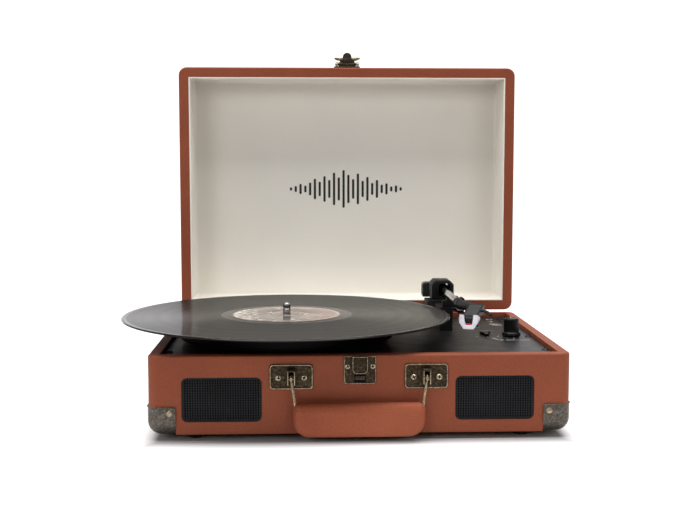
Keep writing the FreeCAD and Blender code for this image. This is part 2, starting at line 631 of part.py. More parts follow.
nub = cyl("hasp_nub", 4.3, 2.6, LX, HSY - 1.3, LT + 11.6, "y")
node("hasp", fuse("hasp_body", barrel, hpin, tong, bar, nub))
lid_screws = [dome_screw("hsp0", LX - 10.7, LIDY + 17.5, LT + 1.2, "+z"),
              dome_screw("hsp1", LX + 10.7, LIDY + 17.5, LT + 1.2, "+z")]
for i, s in enumerate((-1, 1)):
    for j, dx in enumerate((-10.0, 0.0, 10.0)):
        lid_screws.append(dome_screw("lhs%d%d" % (i, j), HX * s + dx, LIDY + 14.0, LIDZ - 1.0, "-z"))
node("lid_hardware_screws", group("lid_screws_group", *lid_screws))

# ---------------------------------------------------------------- platter, bearing and drive
RI = SPR
platter = turned("platter_body", [
    (RI, 70.2), (12.0, 70.2), (12.0, PZ - 3.6), (DRUM - 3, PZ - 3.6), (DRUM - 3, 72.0), (DRUM, 72.0),
    (DRUM, PZ - 3.6), (PR - 3.5, PZ - 3.6), (PR - 3.5, 71.4), (PR - 1.2, 71.4), (PR, 72.6), (PR, PZ - 1.0), (PR - 1.0, PZ), (RI, PZ)], PX, PY)
node("platter", platter)
mat = turned("mat_body", [(9.0, PZ), (PR - 3, PZ), (PR - 3, PZ + MATT - 0.5), (PR - 3.5, PZ + MATT), (9.0, PZ + MATT)], PX, PY)
node("platter_mat", mat)
spin = turned("spindle_body", [(0.0, 47.0), (3.0, 47.0), (3.0, 70.0), (SPR, 70.0), (SPR, RECZ + 2.1), (SPR - 0.25, RECZ + 2.35), (SPR - 0.25, RECZ + 2.6), (SPR, RECZ + 2.85), (SPR, SPZ - 2.6), (2.9, SPZ - 0.9), (1.6, SPZ - 0.15), (0.0, SPZ)], PX, PY)
node("spindle", spin)
bush = turned("bush_body", [(3.05, 45.0), (5.0, 45.0), (5.0, DECKZ), (8.0, DECKZ), (8.0, DECKZ + 1.6), (3.05, DECKZ + 1.6)], PX, PY)
node("bearing_bush", bush)

pulley = turned("pulley_body", [(0.0, 62.0), (1.0, 62.0), (1.0, 71.8), (PULR + 1.2, 71.8), (PULR + 1.2, 73.2), (PULR, 73.6), (PULR, 78.6), (PULR + 1.2, 79.0), (PULR + 1.2, 80.2), (0.0, 80.2)], PULX, PULY)
node("motor_pulley", pulley)
motor_can = cyl("motor_can", 16.0, 26.0, PULX, PULY, 36.0)
motor_boss = cyl("motor_boss", 3.5, 3.0, PULX, PULY, 62.0)
motor_fl = box("motor_flange", PULX - 24, PULX + 24, PULY - 7, PULY + 7, 60.0, 61.5)
motor_bore = cyl("motor_bore", 1.08, 12.0, PULX, PULY, 56.0)
node("motor", cut("motor_cut", fuse("motor_sum", motor_can, motor_boss, motor_fl), motor_bore))


def belt_wire(c1, r1, c2, r2, z):
    """Open-belt outline round two wheels."""
    d = c2 - c1
    L = d.Length
    base = math.atan2(d.y, d.x)
    phi = math.acos((r1 - r2) / L)
    pts = []
    for s in (1, -1):
        a = base + s * phi
        n = V(math.cos(a), math.sin(a), 0)
        pts.append((c1 + n * r1, c2 + n * r2))
    (p1, p2), (q1, q2) = pts
    up = V(0, 0, z)
    far = c1 + V(math.cos(base + math.pi), math.sin(base + math.pi), 0) * r1
    near_pt = c2 + V(math.cos(base), math.sin(base), 0) * r2
    edges = [Part.LineSegment(p1 + up, p2 + up).toShape(),
             Part.Arc(p2 + up, near_pt + up, q2 + up).toShape(),
             Part.LineSegment(q2 + up, q1 + up).toShape(),
             Part.Arc(q1 + up, far + up, p1 + up).toShape()]
    return Part.Wire(edges)


belt = doc.addObject("Part::Feature", "belt_loop")
c1 = V(sheet.get("spindle_x"), sheet.get("spindle_y"), 0)
c2 = V(sheet.get("pulley_x"), sheet.get("pulley_y"), 0)
r1, r2 = sheet.get("drum_radius") + 0.3, sheet.get("pulley_radius") + 0.3
outer = Part.Face(belt_wire(c1, r1 + 0.8, c2, r2 + 0.8, 74.2)).extrude(V(0, 0, 4.0))
inner = Part.Face(belt_wire(c1, r1, c2, r2, 74.0)).extrude(V(0, 0, 4.4))
belt.Shape = outer.cut(inner)
belt.Placement = FreeCAD.Placement(V(0, 0, 0), FreeCAD.Rotation())
node("drive_belt", belt)

# ---------------------------------------------------------------- record
rz0, rz1 = RECZ, RECZ + RECT
record = turned("record_body", [
    (3.62, rz0 + 0.1), (50.0, rz0 + 0.1), (52.0, rz0), (55.0, rz0 + 0.25), (146.0, rz0 + 0.25), (148.5, rz0),
    (RECR - 0.7, rz0 + 0.15), (RECR, rz0 + 0.95), (RECR - 0.7, rz1 - 0.15), (148.5, rz1), (146.0, rz1 - 0.25), (55.0, rz1 - 0.25), (52.0, rz1), (50.0, rz1 - 0.1), (3.62, rz1 - 0.1)], PX, PY)
node("record", record)
lab_t = turned("label_top", [(3.62, rz1 - 0.1), (49.9, rz1 - 0.1), (49.9, rz1 + 0.02), (3.62, rz1 + 0.02)], PX, PY)
lab_b = turned("label_bottom", [(3.62, rz0 - 0.02), (49.9, rz0 - 0.02), (49.9, rz0 + 0.1), (3.62, rz0 + 0.1)], PX, PY)
node("record_labels", group("labels_group", lab_t, lab_b))

# ---------------------------------------------------------------- controls
knob = turned("knob_body", [(0.0, 58.0), (2.0, 58.0), (2.0, 68.5), (8.75, 68.5), (8.75, 71.6), (7.9, 72.4), (7.2, 72.6), (6.9, 84.4), (6.3, 85.3), (0.0, 85.3)], KX, KY)
node("volume_knob", knob)
pot_b = cyl("pot_can", 8.2, 9.0, KX, KY, 55.4)
pot_s = cyl("pot_bush", 3.5, 5.0, KX, KY, 62.4)
pot_h = cyl("pot_bore", 2.06, 14.0, KX, KY, 57.4)
node("volume_pot", cut("pot_cut", fuse("pot_sum", pot_b, pot_s), pot_h))

sl_d = cyl("speed_disc", 5.0, 2.6, 126.0, 1.0, 68.5)
sl_a = box("speed_arm", 124.0, 128.0, -13.5, 1.0, 68.5, 70.6)
sl_s = cyl("speed_stem", 2.5, 8.0, 126.0, 1.0, 60.5)
node("speed_lever", fuse("speed_sum", sl_d, sl_a, sl_s))
as_c = box("auto_cap", 122.6, 127.4, 48.5, 52.5, 68.4, 71.0)
as_s = box("auto_stem", 123.9, 126.1, 49.4, 51.6, 62.0, 68.4)
node("autostop_lever", fuse("auto_sum", as_c, as_s))

jk = []
for i, (x, y) in enumerate(JACKS):
    nut = cyl("jack_nut%d" % i, 4.4, 1.2, x, y, DECKZ)
    neck = cyl("jack_neck%d" % i, 3.0, 18.0, x, y, DECKZ - 17.5)
    can = box("jack_can%d" % i, x - 9, x + 0.3, y - 6, y + 6, 50.5, 63.9)
    hole = cyl("jack_hole%d" % i, 1.8, 15.0, x, y, DECKZ + 1.2 - 14)
    jk.append(cut("jack%d" % i, fuse("jack_s%d" % i, nut, neck, can), hole))
node("audio_jacks", group("jacks_group", *jk))

# ---------------------------------------------------------------- electronics
pcb = box("pcb_sheet", 40.0, 140.0, -75.0, 10.0, 21.0, 22.6)
posts = [cyl("pcb_post%d" % i, 3.0, 11.5, x, y, 9.5) for i, (x, y) in enumerate(((45, -70), (135, -70), (45, 5), (135, 5)))]
caps = [cyl("pcb_cap%d" % i, 5.0, 12.0, 60 + 14 * i, -60.0, 22.6) for i in range(3)]
chips = [box("pcb_ic%d" % i, 60 + 24 * i, 72 + 24 * i, -30.0, -12.0, 22.6, 25.6) for i in range(3)]
sink = box("pcb_sink", 112.0, 130.0, -66.0, -50.0, 22.6, 36.0)
node("main_board", fuse("pcb_sum", pcb, sink, *(posts + caps + chips)))

jp = box("jp_plate", 28.0, 102.0, HD, HD + 1.8, 21.0, 48.0)
jpf = fillet("jp_platef", jp, 2.5, along("y"))
RCA = ((46.0, 35.0), (62.0, 35.0))
DCX, DCZ = 85.0, 35.0
jph = [cyl("jp_h%d" % i, 4.15, 6.0, x, HD - 1, z, "y") for i, (x, z) in enumerate(RCA)] + [cyl("jp_dc", 5.5, 6.0, DCX, HD - 1, DCZ, "y")]
node("rear_jack_plate", cut("jp_cut", jpf, *jph))
rca = []
for i, (x, z) in enumerate(RCA):
    bar_ = cyl("rca_b%d" % i, 4.15, 11.9, x, HD - 10, z, "y")
    back = cyl("rca_back%d" % i, 6.0, 4.0, x, HD - 14, z, "y")
    hol = cyl("rca_h%d" % i, 1.7, 10.0, x, HD + 2, z, "y")
    neckb = cyl("rca_neck%d" % i, 3.8, 0.6, x, HD + 1.9, z, "y")
    free = cyl("rca_free%d" % i, 4.15, 7.5, x, HD + 2.5, z, "y")
    rca.append(cut("rca%d" % i, fuse("rca_s%d" % i, bar_, back, neckb, free), hol))
node("rca_sockets", group("rca_group", *rca))
dc_o = cyl("dc_o", 5.5, 16.0, DCX, HD - 13.8, DCZ, "y")
dc_i = cyl("dc_i", 2.9, 12.0, DCX, HD - 9.0, DCZ, "y")
dc_p = cyl("dc_p", 1.0, 10.0, DCX, HD - 9.2, DCZ, "y")
node("dc_socket", fuse("dc_sum", cut("dc_cut", dc_o, dc_i), dc_p))

# ---------------------------------------------------------------- tonearm
ped = padded_plate("arm_pedestal", [
    (85.6, 23.0), (97.6, 23.0), (97.6, 60.0), (105.0, 72.0), (105.0, 103.0), (79.0, 103.0), (79.0, 74.0), (85.6, 62.0)], DECKZ, BASEZ - DECKZ)
stub = cyl("arm_stub", 5.0, 9.0, AX, AY, 60.0)
abore = cyl("arm_bore", 3.06, 40.0, AX, AY, 58.0)
cbore = cyl("cue_bore", 1.56, 14.0, 91.0, 62.0, BASEZ - 12)
lbore = cyl("lever_bore", 1.56, 12.0, 96.0, 66.0, 84.0, "x")
node("tonearm_base", cut("ped_cut", fuse("ped_sum", ped, stub), abore, cbore, lbore))

r_shelf = box("rest_shelf", 88.0, 106.0, 24.5, 30.0, BASEZ, 97.7)
CPX, CPZ = 107.6, 97.9
r_boss = cyl("rest_boss", 2.4, 5.5, CPX, 25.0, CPZ, "y")
r_pin = cyl("rest_pin", 1.0, 9.0, CPX, 25.4, CPZ, "y")
r_horn = box("rest_horn", 101.6, 103.6, 24.5, 30.0, 96.0, 101.9)
r_relief = cyl("rest_relief", 3.9, 8.0, AX, 23.5, AZ, "y")
node("arm_rest", cut("rest_cut", fuse("rest_sum", r_shelf, r_horn, r_boss, r_pin), r_relief))

yk = box("yoke_block", AX - 13, AX + 9.6, AY - 14, AY + 13, BASEZ + 1.0, AZ + 9.8)
ykc = fillet("yoke_chamfer", yk, 3.6, both(along("y"), near("z", AZ + 9.8)), "Part::Chamfer")
tun = box("yoke_tunnel", AX - 6.4, AX + 6.4, AY - 20, AY + 20, AZ - 7.4, AZ + 7.4)
ypin = cyl("yoke_pin", 1.0, 20.4, AX - 12, AY, AZ, "x")
yshaft = cyl("yoke_shaft", 3.0, 32.0, AX, AY, 60.5)
node("tonearm_yoke", fuse("yoke_sum", cut("yoke_cut", ykc, tun), ypin, yshaft))

tube = cyl("tube_rod", TR, 150.0, AX, AY + 26 - 150, AZ, "y")
tubeb = cyl("tube_cross", 1.05, 12.0, AX - 6, AY, AZ, "x")
node("tonearm_tube", cut("tube_cut", tube, tubeb))

cwb = box("cw_block", 78.0, 103.0, 110.0, 122.0, 90.9, 106.1)
cwf = fillet("cw_round", cwb, 2.0, along("y"))
cwh = cyl("cw_bore", TR, 40.0, AX, 100.0, AZ, "y")
node("counterweight", cut("cw_cut", cwf, cwh))

# black neck: from the tube's end it bends outward to the headshell
NX, NY, NZ = 105.0, -79.5, 103.6
ELB = V(AX.value, -34.0, AZ.value)
TIP = V(NX, NY, NZ)
sleeve = cyl("neck_sleeve", 4.5, 12.0, AX, -34.0, AZ, "y")
elbow = doc.addObject("Part::Sphere", "neck_elbow")
elbow.Radius = 4.9
place(elbow, AX, -34.0, AZ)


def neck_taper(name):
    c = doc.addObject("Part::Cone", name)
    c.Radius1, c.Radius2 = 4.3, 3.7
    c.Height = (TIP - ELB).Length
    c.Placement = FreeCAD.Placement(ELB, FreeCAD.Rotation(V(0, 0, 1), TIP - ELB))
    return c


neck_bore = cyl("neck_bore", TR, 20.0, AX, -32.0, AZ, "y")
node("arm_neck", cut("neck_cut", fuse("neck_sum", sleeve, elbow, neck_taper("neck_taper")), neck_bore))

# headshell: a wedge-nosed block, turned inward by the offset angle
HA = 18.0
hs = doc.addObject("PartDesign::Body", "head_body")
sk = polygon_sketch(hs, "head_side", "YZ_Plane", [(0.0, 99.1), (-38.0, 99.3), (-42.0, 99.9), (-42.0, 101.3), (-39.5, 102.3), (0.0, 108.0)])
pad = hs.newObject("PartDesign::Pad", "head_pad")
pad.Profile = sk
pad.Length = 13.2
pad.Midplane = True
hs.Tip = pad
doc.recompute()
hs_rot = FreeCAD.Rotation(V(0, 0, 1), -HA)
hs.Placement = FreeCAD.Placement(V(NX, NY, 0), hs_rot)
HP = hs.Placement
neck_cl = neck_taper("neck_seat")
lift = doc.addObject("Part::Box", "finger_lift")
lift.Length, lift.Width, lift.Height = 11.0, 5.0, 1.6
lift.Placement = HP.multiply(FreeCAD.Placement(V(5.6, -20.0, 103.2), FreeCAD.Rotation(V(0, 1, 0), 16)))
node("headshell", cut("head_cut", fuse("head_sum", hs, lift), neck_cl))


def in_head(b):
    """Seat a block that is drawn in the headshell's own frame."""
    b.Placement = HP.multiply(b.Placement)
    return b


cart = in_head(box("cart_b", -4.8, 4.8, -36.0, -12.0, 97.0, 99.1))
node("cartridge", cart)
sty = in_head(fuse("stylus_f", box("stylus_b", -2.4, 2.4, -42.5, -30.0, 95.2, 97.0), cone("stylus_n", 0.15, 0.7, 1.2, 0.0, -38.0, 94.2)))
node("stylus", sty)


def cup_outline(name, pts, y0, y1):
    """Outline across the head, pushed along it from y0 to y1."""
    b = doc.addObject("PartDesign::Body", name + "_body")
    k = polygon_sketch(b, name + "_sketch", "XZ_Plane", pts)
    p = b.newObject("PartDesign::Pad", name + "_pad")
    p.Profile = k
    p.Length = y1 - y0
    p.Midplane = True
    b.Tip = p
    doc.recompute()
    b.Placement = FreeCAD.Placement(V(0, (y0 + y1) / 2, 0), FreeCAD.Rotation())
    return b


g_o = cup_outline("guard_outer", [(-3.9, 92.7), (3.9, 92.7), (5.6, 95.2), (7.6, 97.6), (7.6, 103.4), (-7.6, 103.4), (-7.6, 97.6), (-5.6, 95.2)], -45.2, -27.0)
g_s = cup_outline("guard_inner", [(-3.3, 93.7), (3.3, 93.7), (5.1, 96.2), (6.85, 98.2), (6.85, 112.0), (-6.85, 112.0), (-6.85, 98.2), (-5.1, 96.2)], -43.9, -20.0)
g_w = box("guard_w", -3.1, 3.1, -50.0, -40.0, 95.6, 110.0)
node("stylus_guard", in_head(cut("guard_cut", g_o, g_s, g_w)))

# lock clip, folded back from the tube; it turns over the tube to hold the parked arm
ca = box("clip_a", -1.6, 1.6, 0.0, 3.0, -1.6, 9.2)
cb = box("clip_b", -15.0, 1.6, 0.0, 3.0, 7.6, 9.2)
ck = cyl("clip_k", 2.4, 3.0, 0.0, 0.0, 0.0, "y")
clip = fuse("clip_sum", ca, cb, ck)
clip.Placement = FreeCAD.Placement(V(CPX, 31.0, CPZ), FreeCAD.Rotation(V(0, 1, 0), 176))
chole = cyl("clip_hole", 1.06, 20.0, CPX, 26.0, CPZ, "y")
node("arm_clip", cut("clip_cut", clip, chole))

# cue lever at the side of the tonearm base and the lift bar that it raises
cl_h = cyl("cue_hub", 3.0, 3.0, 105.6, 66.0, 84.0, "x")
cl_a = box("cue_arm", 105.6, 108.6, 42.0, 66.0, 82.6, 85.4)
cl_t = box("cue_tip", 105.6, 112.0, 40.0, 44.0, 82.4, 86.4)
cl_p = cyl("cue_pin", 1.5, 4.2, 101.7, 66.0, 84.0, "x")
node("cue_lever", fuse("cue_sum", cl_h, cl_a, cl_t, cl_p))
cbar = box("cue_plate", 79.0, 100.4, 60.0, 64.0, 91.6, 93.4)
cpost = cyl("cue_post", 1.5, 10.0, 91.0, 62.0, 82.2)
node("cue_bar", fuse("cuebar_sum", cbar, cpost))

# ---------------------------------------------------------------- check and write
doc.recompute()
bad = []
for o in doc.Objects:
    if "Invalid" in o.State or "Error" in o.State:
        bad.append((o.Name, o.State))
if bad:
    raise RuntimeError("failed objects: %s" % bad)
labels = [n for n, _ in NODES]
if len(set(labels)) != len(labels):
    raise RuntimeError("a label is used twice")
for label, obj in NODES:
    s = obj.Shape
    if s.isNull() or not s.isValid() or not s.Solids:
        raise RuntimeError("bad shape: " + label)
    if not re.match(r"^[a-z0-9_]+$", label):
        raise RuntimeError("bad label: " + label)
os.makedirs("parts", exist_ok=True)
for label, obj in NODES:
    obj.Shape.exportStep(os.path.join("parts", label + ".step"))
print("nodes", len(NODES), "solids", sum(len(o.Shape.Solids) for _, o in NODES))
for label, obj in NODES:
    b = obj.Shape.BoundBox
    print("%-22s n=%d v=%.0f x %.1f..%.1f y %.1f..%.1f z %.1f..%.1f" % (
        label, len(obj.Shape.Solids), obj.Shape.Volume, b.XMin, b.XMax, b.YMin, b.YMax, b.ZMin, b.ZMax))
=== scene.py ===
import bpy, bmesh, math, random
from mathutils import Vector, Matrix, noise


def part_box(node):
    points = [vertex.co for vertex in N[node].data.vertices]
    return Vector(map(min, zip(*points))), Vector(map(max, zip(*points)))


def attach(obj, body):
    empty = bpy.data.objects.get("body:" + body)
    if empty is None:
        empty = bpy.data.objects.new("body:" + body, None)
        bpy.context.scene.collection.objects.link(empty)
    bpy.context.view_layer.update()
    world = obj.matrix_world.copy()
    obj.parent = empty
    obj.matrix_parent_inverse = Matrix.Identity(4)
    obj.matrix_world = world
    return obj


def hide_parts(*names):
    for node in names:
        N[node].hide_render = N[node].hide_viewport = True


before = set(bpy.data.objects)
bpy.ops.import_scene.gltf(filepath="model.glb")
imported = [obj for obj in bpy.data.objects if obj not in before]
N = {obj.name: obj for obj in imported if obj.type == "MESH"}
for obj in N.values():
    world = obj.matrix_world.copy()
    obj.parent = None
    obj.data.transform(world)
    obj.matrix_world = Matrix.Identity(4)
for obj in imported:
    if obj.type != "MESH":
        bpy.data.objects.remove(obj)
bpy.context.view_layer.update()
scene = bpy.context.scene
MM = 0.001
random.seed(11)


def box_mm(node):
    a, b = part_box(node)
    return [c * 1000.0 for c in a], [c * 1000.0 for c in b]


# ------------------------------------------------------------------ places, in millimetres
HW, HD, ZB, ZR, DECK = 177.5, 129.0, 5.5, 72.0, 68.0
LY, LZ, LT, LD = 132.2, 73.7, 331.7, 55.0
_r = box_mm("record")
PX, PY = (_r[0][0] + _r[1][0]) / 2, (_r[0][1] + _r[1][1]) / 2
RZ0, RZ1 = _r[0][2], _r[1][2]
RECR = (_r[1][0] - _r[0][0]) / 2
_k = box_mm("volume_knob")
KX, KY = (_k[0][0] + _k[1][0]) / 2, (_k[0][1] + _k[1][1]) / 2
AX, AY, AZ = 97.0, 92.0, 101.5
FX, LX = -1.5, -0.6

# ------------------------------------------------------------------ node helpers


def nmat(name):
    m = bpy.data.materials.new(name)
    m.use_nodes = True
    return m, m.node_tree, m.node_tree.nodes["Principled BSDF"]


def nd(t, kind, **kw):
    n = t.nodes.new(kind)
    for k, v in kw.items():
        if k.startswith("i_"):
            key = k[2:]
            n.inputs[int(key) if key.isdigit() else key.replace("_", " ")].default_value = v
        else:
            setattr(n, k, v)
    return n


def coords(t, centre=None, scale=None):
    c = nd(t, "ShaderNodeTexCoord").outputs["Object"]
    if centre is not None:
        s = nd(t, "ShaderNodeVectorMath", operation="SUBTRACT")
        t.links.new(c, s.inputs[0])
        s.inputs[1].default_value = centre
        c = s.outputs[0]
    if scale is not None:
        s = nd(t, "ShaderNodeVectorMath", operation="MULTIPLY")
        t.links.new(c, s.inputs[0])
        s.inputs[1].default_value = scale
        c = s.outputs[0]
    return c


def tnoise(t, c, scale, detail=3.0, rough=0.5, distortion=0.0):
    n = nd(t, "ShaderNodeTexNoise")
    n.inputs["Scale"].default_value = scale
    n.inputs["Detail"].default_value = detail
    n.inputs["Roughness"].default_value = rough
    n.inputs["Distortion"].default_value = distortion
    t.links.new(c, n.inputs["Vector"])
    return n.outputs["Fac"]


def ramp(t, fac, stops, mode="LINEAR"):
    r = nd(t, "ShaderNodeValToRGB")
    r.color_ramp.interpolation = mode
    e = r.color_ramp.elements
    while len(e) > 2:
        e.remove(e[-1])
    for i, (p, c) in enumerate(stops):
        if i >= 2:
            e.new(p)
        e[i].position = p
        e[i].color = (*c, 1.0) if len(c) == 3 else c
    t.links.new(fac, r.inputs["Fac"])
    return r.outputs["Color"]


def mapr(t, fac, a, b, c, d):
    n = nd(t, "ShaderNodeMapRange")
    n.inputs["From Min"].default_value = a
    n.inputs["From Max"].default_value = b
    n.inputs["To Min"].default_value = c
    n.inputs["To Max"].default_value = d
    t.links.new(fac, n.inputs["Value"])
    return n.outputs["Result"]


def math_n(t, op, a, b=None, clamp=False):
    n = nd(t, "ShaderNodeMath", operation=op, use_clamp=clamp)
    for i, v in enumerate((a, b)):
        if v is None:
            continue
        if isinstance(v, (int, float)):
            n.inputs[i].default_value = v
        else:
            t.links.new(v, n.inputs[i])
    return n.outputs[0]


def mixc(t, fac, a, b, mode="MIX"):
    n = nd(t, "ShaderNodeMix", data_type="RGBA", blend_type=mode)
    for key, v in ((0, fac), (6, a), (7, b)):
        if isinstance(v, (int, float)):
            n.inputs[key].default_value = v
        elif isinstance(v, tuple):
            n.inputs[key].default_value = (*v, 1.0) if len(v) == 3 else v
        else:
            t.links.new(v, n.inputs[key])
    return n.outputs[2]


def bump(t, b, h, strength, dist, prev=None):
    n = nd(t, "ShaderNodeBump")
    n.inputs["Strength"].default_value = strength
    n.inputs["Distance"].default_value = dist
    t.links.new(h, n.inputs["Height"])
    if prev is not None:
        t.links.new(prev, n.inputs["Normal"])
    t.links.new(n.outputs["Normal"], b.inputs["Normal"])
    return n.outputs["Normal"]


def leather(name, dark, light, grain=1.0):
    """Embossed leatherette: small pebbles with fine creases, slow colour drift and a soft sheen."""
    m, t, b = nmat(name)
    c = coords(t)
    drift = tnoise(t, c, 14.0, 4.0, 0.55)
    col = ramp(t, drift, [(0.3, dark), (0.7, light)])
    v = nd(t, "ShaderNodeTexVoronoi", feature="SMOOTH_F1")
    v.inputs["Scale"].default_value = 820.0
    v.inputs["Smoothness"].default_value = 0.6
    warp = nd(t, "ShaderNodeVectorMath", operation="ADD")
    wn = nd(t, "ShaderNodeTexNoise")
    wn.inputs["Scale"].default_value = 420.0
    t.links.new(c, wn.inputs["Vector"])
    ws = nd(t, "ShaderNodeVectorMath", operation="MULTIPLY")
    t.links.new(wn.outputs["Color"], ws.inputs[0])
    ws.inputs[1].default_value = (0.0009, 0.0009, 0.0009)
    t.links.new(c, warp.inputs[0])
    t.links.new(ws.outputs[0], warp.inputs[1])
    t.links.new(warp.outputs[0], v.inputs["Vector"])
    creases = mapr(t, v.outputs["Distance"], 0.25, 0.75, 0.0, 1.0)
    # the grain creases are painted darker here: painted shade in the creases
    col = mixc(t, math_n(t, "MULTIPLY", creases, 0.22), col, tuple(x * 0.55 for x in dark))
    fine = tnoise(t, c, 2600.0, 2.0, 0.6)
    col = mixc(t, mapr(t, fine, 0.45, 0.8, 0.0, 0.16), col, tuple(min(1.0, x * 1.5) for x in light))
    t.links.new(col, b.inputs["Base Color"])
    rr = math_n(t, "ADD", mapr(t, drift, 0.3, 0.7, 0.46, 0.56), mapr(t, creases, 0.0, 1.0, 0.0, 0.12))
    t.links.new(rr, b.inputs["Roughness"])
    b.inputs["Specular IOR Level"].default_value = 0.20
    h = math_n(t, "ADD", math_n(t, "MULTIPLY", creases, -1.0), math_n(t, "MULTIPLY", fine, 0.35))
    n1 = bump(t, b, tnoise(t, c, 34.0, 3.0, 0.5), 0.10, 0.0012)
    bump(t, b, h, 0.34 * grain, 0.00022, n1)
    return m


def paper(name, base, spots=0.05):
    """Paper-backed lining cloth: fine fibres and a faint weave."""
    m, t, b = nmat(name)
    c = coords(t)
    drift = tnoise(t, c, 9.0, 4.0, 0.5)
    fib = tnoise(t, coords(t, scale=(1.0, 1.0, 0.22)), 900.0, 3.0, 0.65)
    col = mixc(t, mapr(t, drift, 0.3, 0.7, 0.0, 1.0), tuple(x * (1 - spots) for x in base), base)
    col = mixc(t, mapr(t, fib, 0.5, 0.75, 0.0, 0.10), col, tuple(x * 0.8 for x in base))
    t.links.new(col, b.inputs["Base Color"])
    b.inputs["Roughness"].default_value = 0.74
    b.inputs["Specular IOR Level"].default_value = 0.3
    n1 = bump(t, b, drift, 0.06, 0.002)
    bump(t, b, fib, 0.16, 0.00015, n1)
    return m


def plastic(name, base, rough=0.42, grain=1500.0, amount=0.12, spread=0.35, spec=0.5, coat=0.0):
    """Moulded plastic with a fine spark texture and handling marks in its gloss."""
    m, t, b = nmat(name)
    c = coords(t)
    g = tnoise(t, c, grain, 3.0, 0.6)
    d = tnoise(t, c, 60.0, 4.0, 0.6)
    col = mixc(t, mapr(t, d, 0.3, 0.7, 0.0, 1.0), tuple(x * (1 - spread * 0.5) for x in base), tuple(min(1, x * (1 + spread)) for x in base))
    t.links.new(col, b.inputs["Base Color"])
    t.links.new(math_n(t, "ADD", mapr(t, d, 0.3, 0.7, rough - 0.05, rough + 0.05), mapr(t, g, 0.3, 0.7, -0.03, 0.03)), b.inputs["Roughness"])
    b.inputs["Specular IOR Level"].default_value = spec
    b.inputs["Coat Weight"].default_value = coat
    bump(t, b, g, amount, 0.0001)
    return m


def antique(name, dark, mid, light, rough=0.42, wear=0.5):
    """Antiqued brass plating: dark patina in the lows, rubbed warm metal on the highs, small pits."""
    m, t, b = nmat(name)
    c = coords(t)
    a = tnoise(t, c, 520.0, 6.0, 0.70, 0.5)
    f = tnoise(t, c, 2100.0, 4.0, 0.65)
    s = math_n(t, "ADD", math_n(t, "MULTIPLY", a, 0.62), math_n(t, "MULTIPLY", f, 0.38))
    col = ramp(t, s, [(0.36, dark), (0.5, mid), (0.72 - 0.14 * wear, light)])
    sc = tnoise(t, coords(t, scale=(1.0, 1.0, 5.0)), 260.0, 3.0, 0.7)
    col = mixc(t, mapr(t, sc, 0.64, 0.78, 0.0, 0.25), col, light)
    t.links.new(col, b.inputs["Base Color"])
    b.inputs["Metallic"].default_value = 0.86
    t.links.new(mapr(t, s, 0.35, 0.65, rough + 0.16, rough - 0.08), b.inputs["Roughness"])
    bump(t, b, s, 0.35, 0.00035)
    return m


def metal(name, base, rough=0.22, brush=(1.0, 1.0, 1.0), amount=0.05):
    m, t, b = nmat(name)
    c = coords(t, scale=brush)
    g = tnoise(t, c, 900.0, 3.0, 0.6)
    d = tnoise(t, coords(t), 45.0, 3.0, 0.5)
    col = mixc(t, mapr(t, d, 0.3, 0.7, 0.0, 1.0), tuple(x * 0.88 for x in base), base)
    t.links.new(col, b.inputs["Base Color"])
    b.inputs["Metallic"].default_value = 1.0
    t.links.new(mapr(t, g, 0.3, 0.7, rough - 0.05, rough + 0.07), b.inputs["Roughness"])
    bump(t, b, g, amount, 0.00008)
    return m


def radius_out(t, cx, cy):
    c = coords(t, centre=(cx * MM, cy * MM, 0.0))
    f = nd(t, "ShaderNodeVectorMath", operation="MULTIPLY")
    t.links.new(c, f.inputs[0])
    f.inputs[1].default_value = (1000.0, 1000.0, 0.0)
    ln = nd(t, "ShaderNodeVectorMath", operation="LENGTH")
    t.links.new(f.outputs[0], ln.inputs[0])
    return ln.outputs["Value"], f.outputs[0]


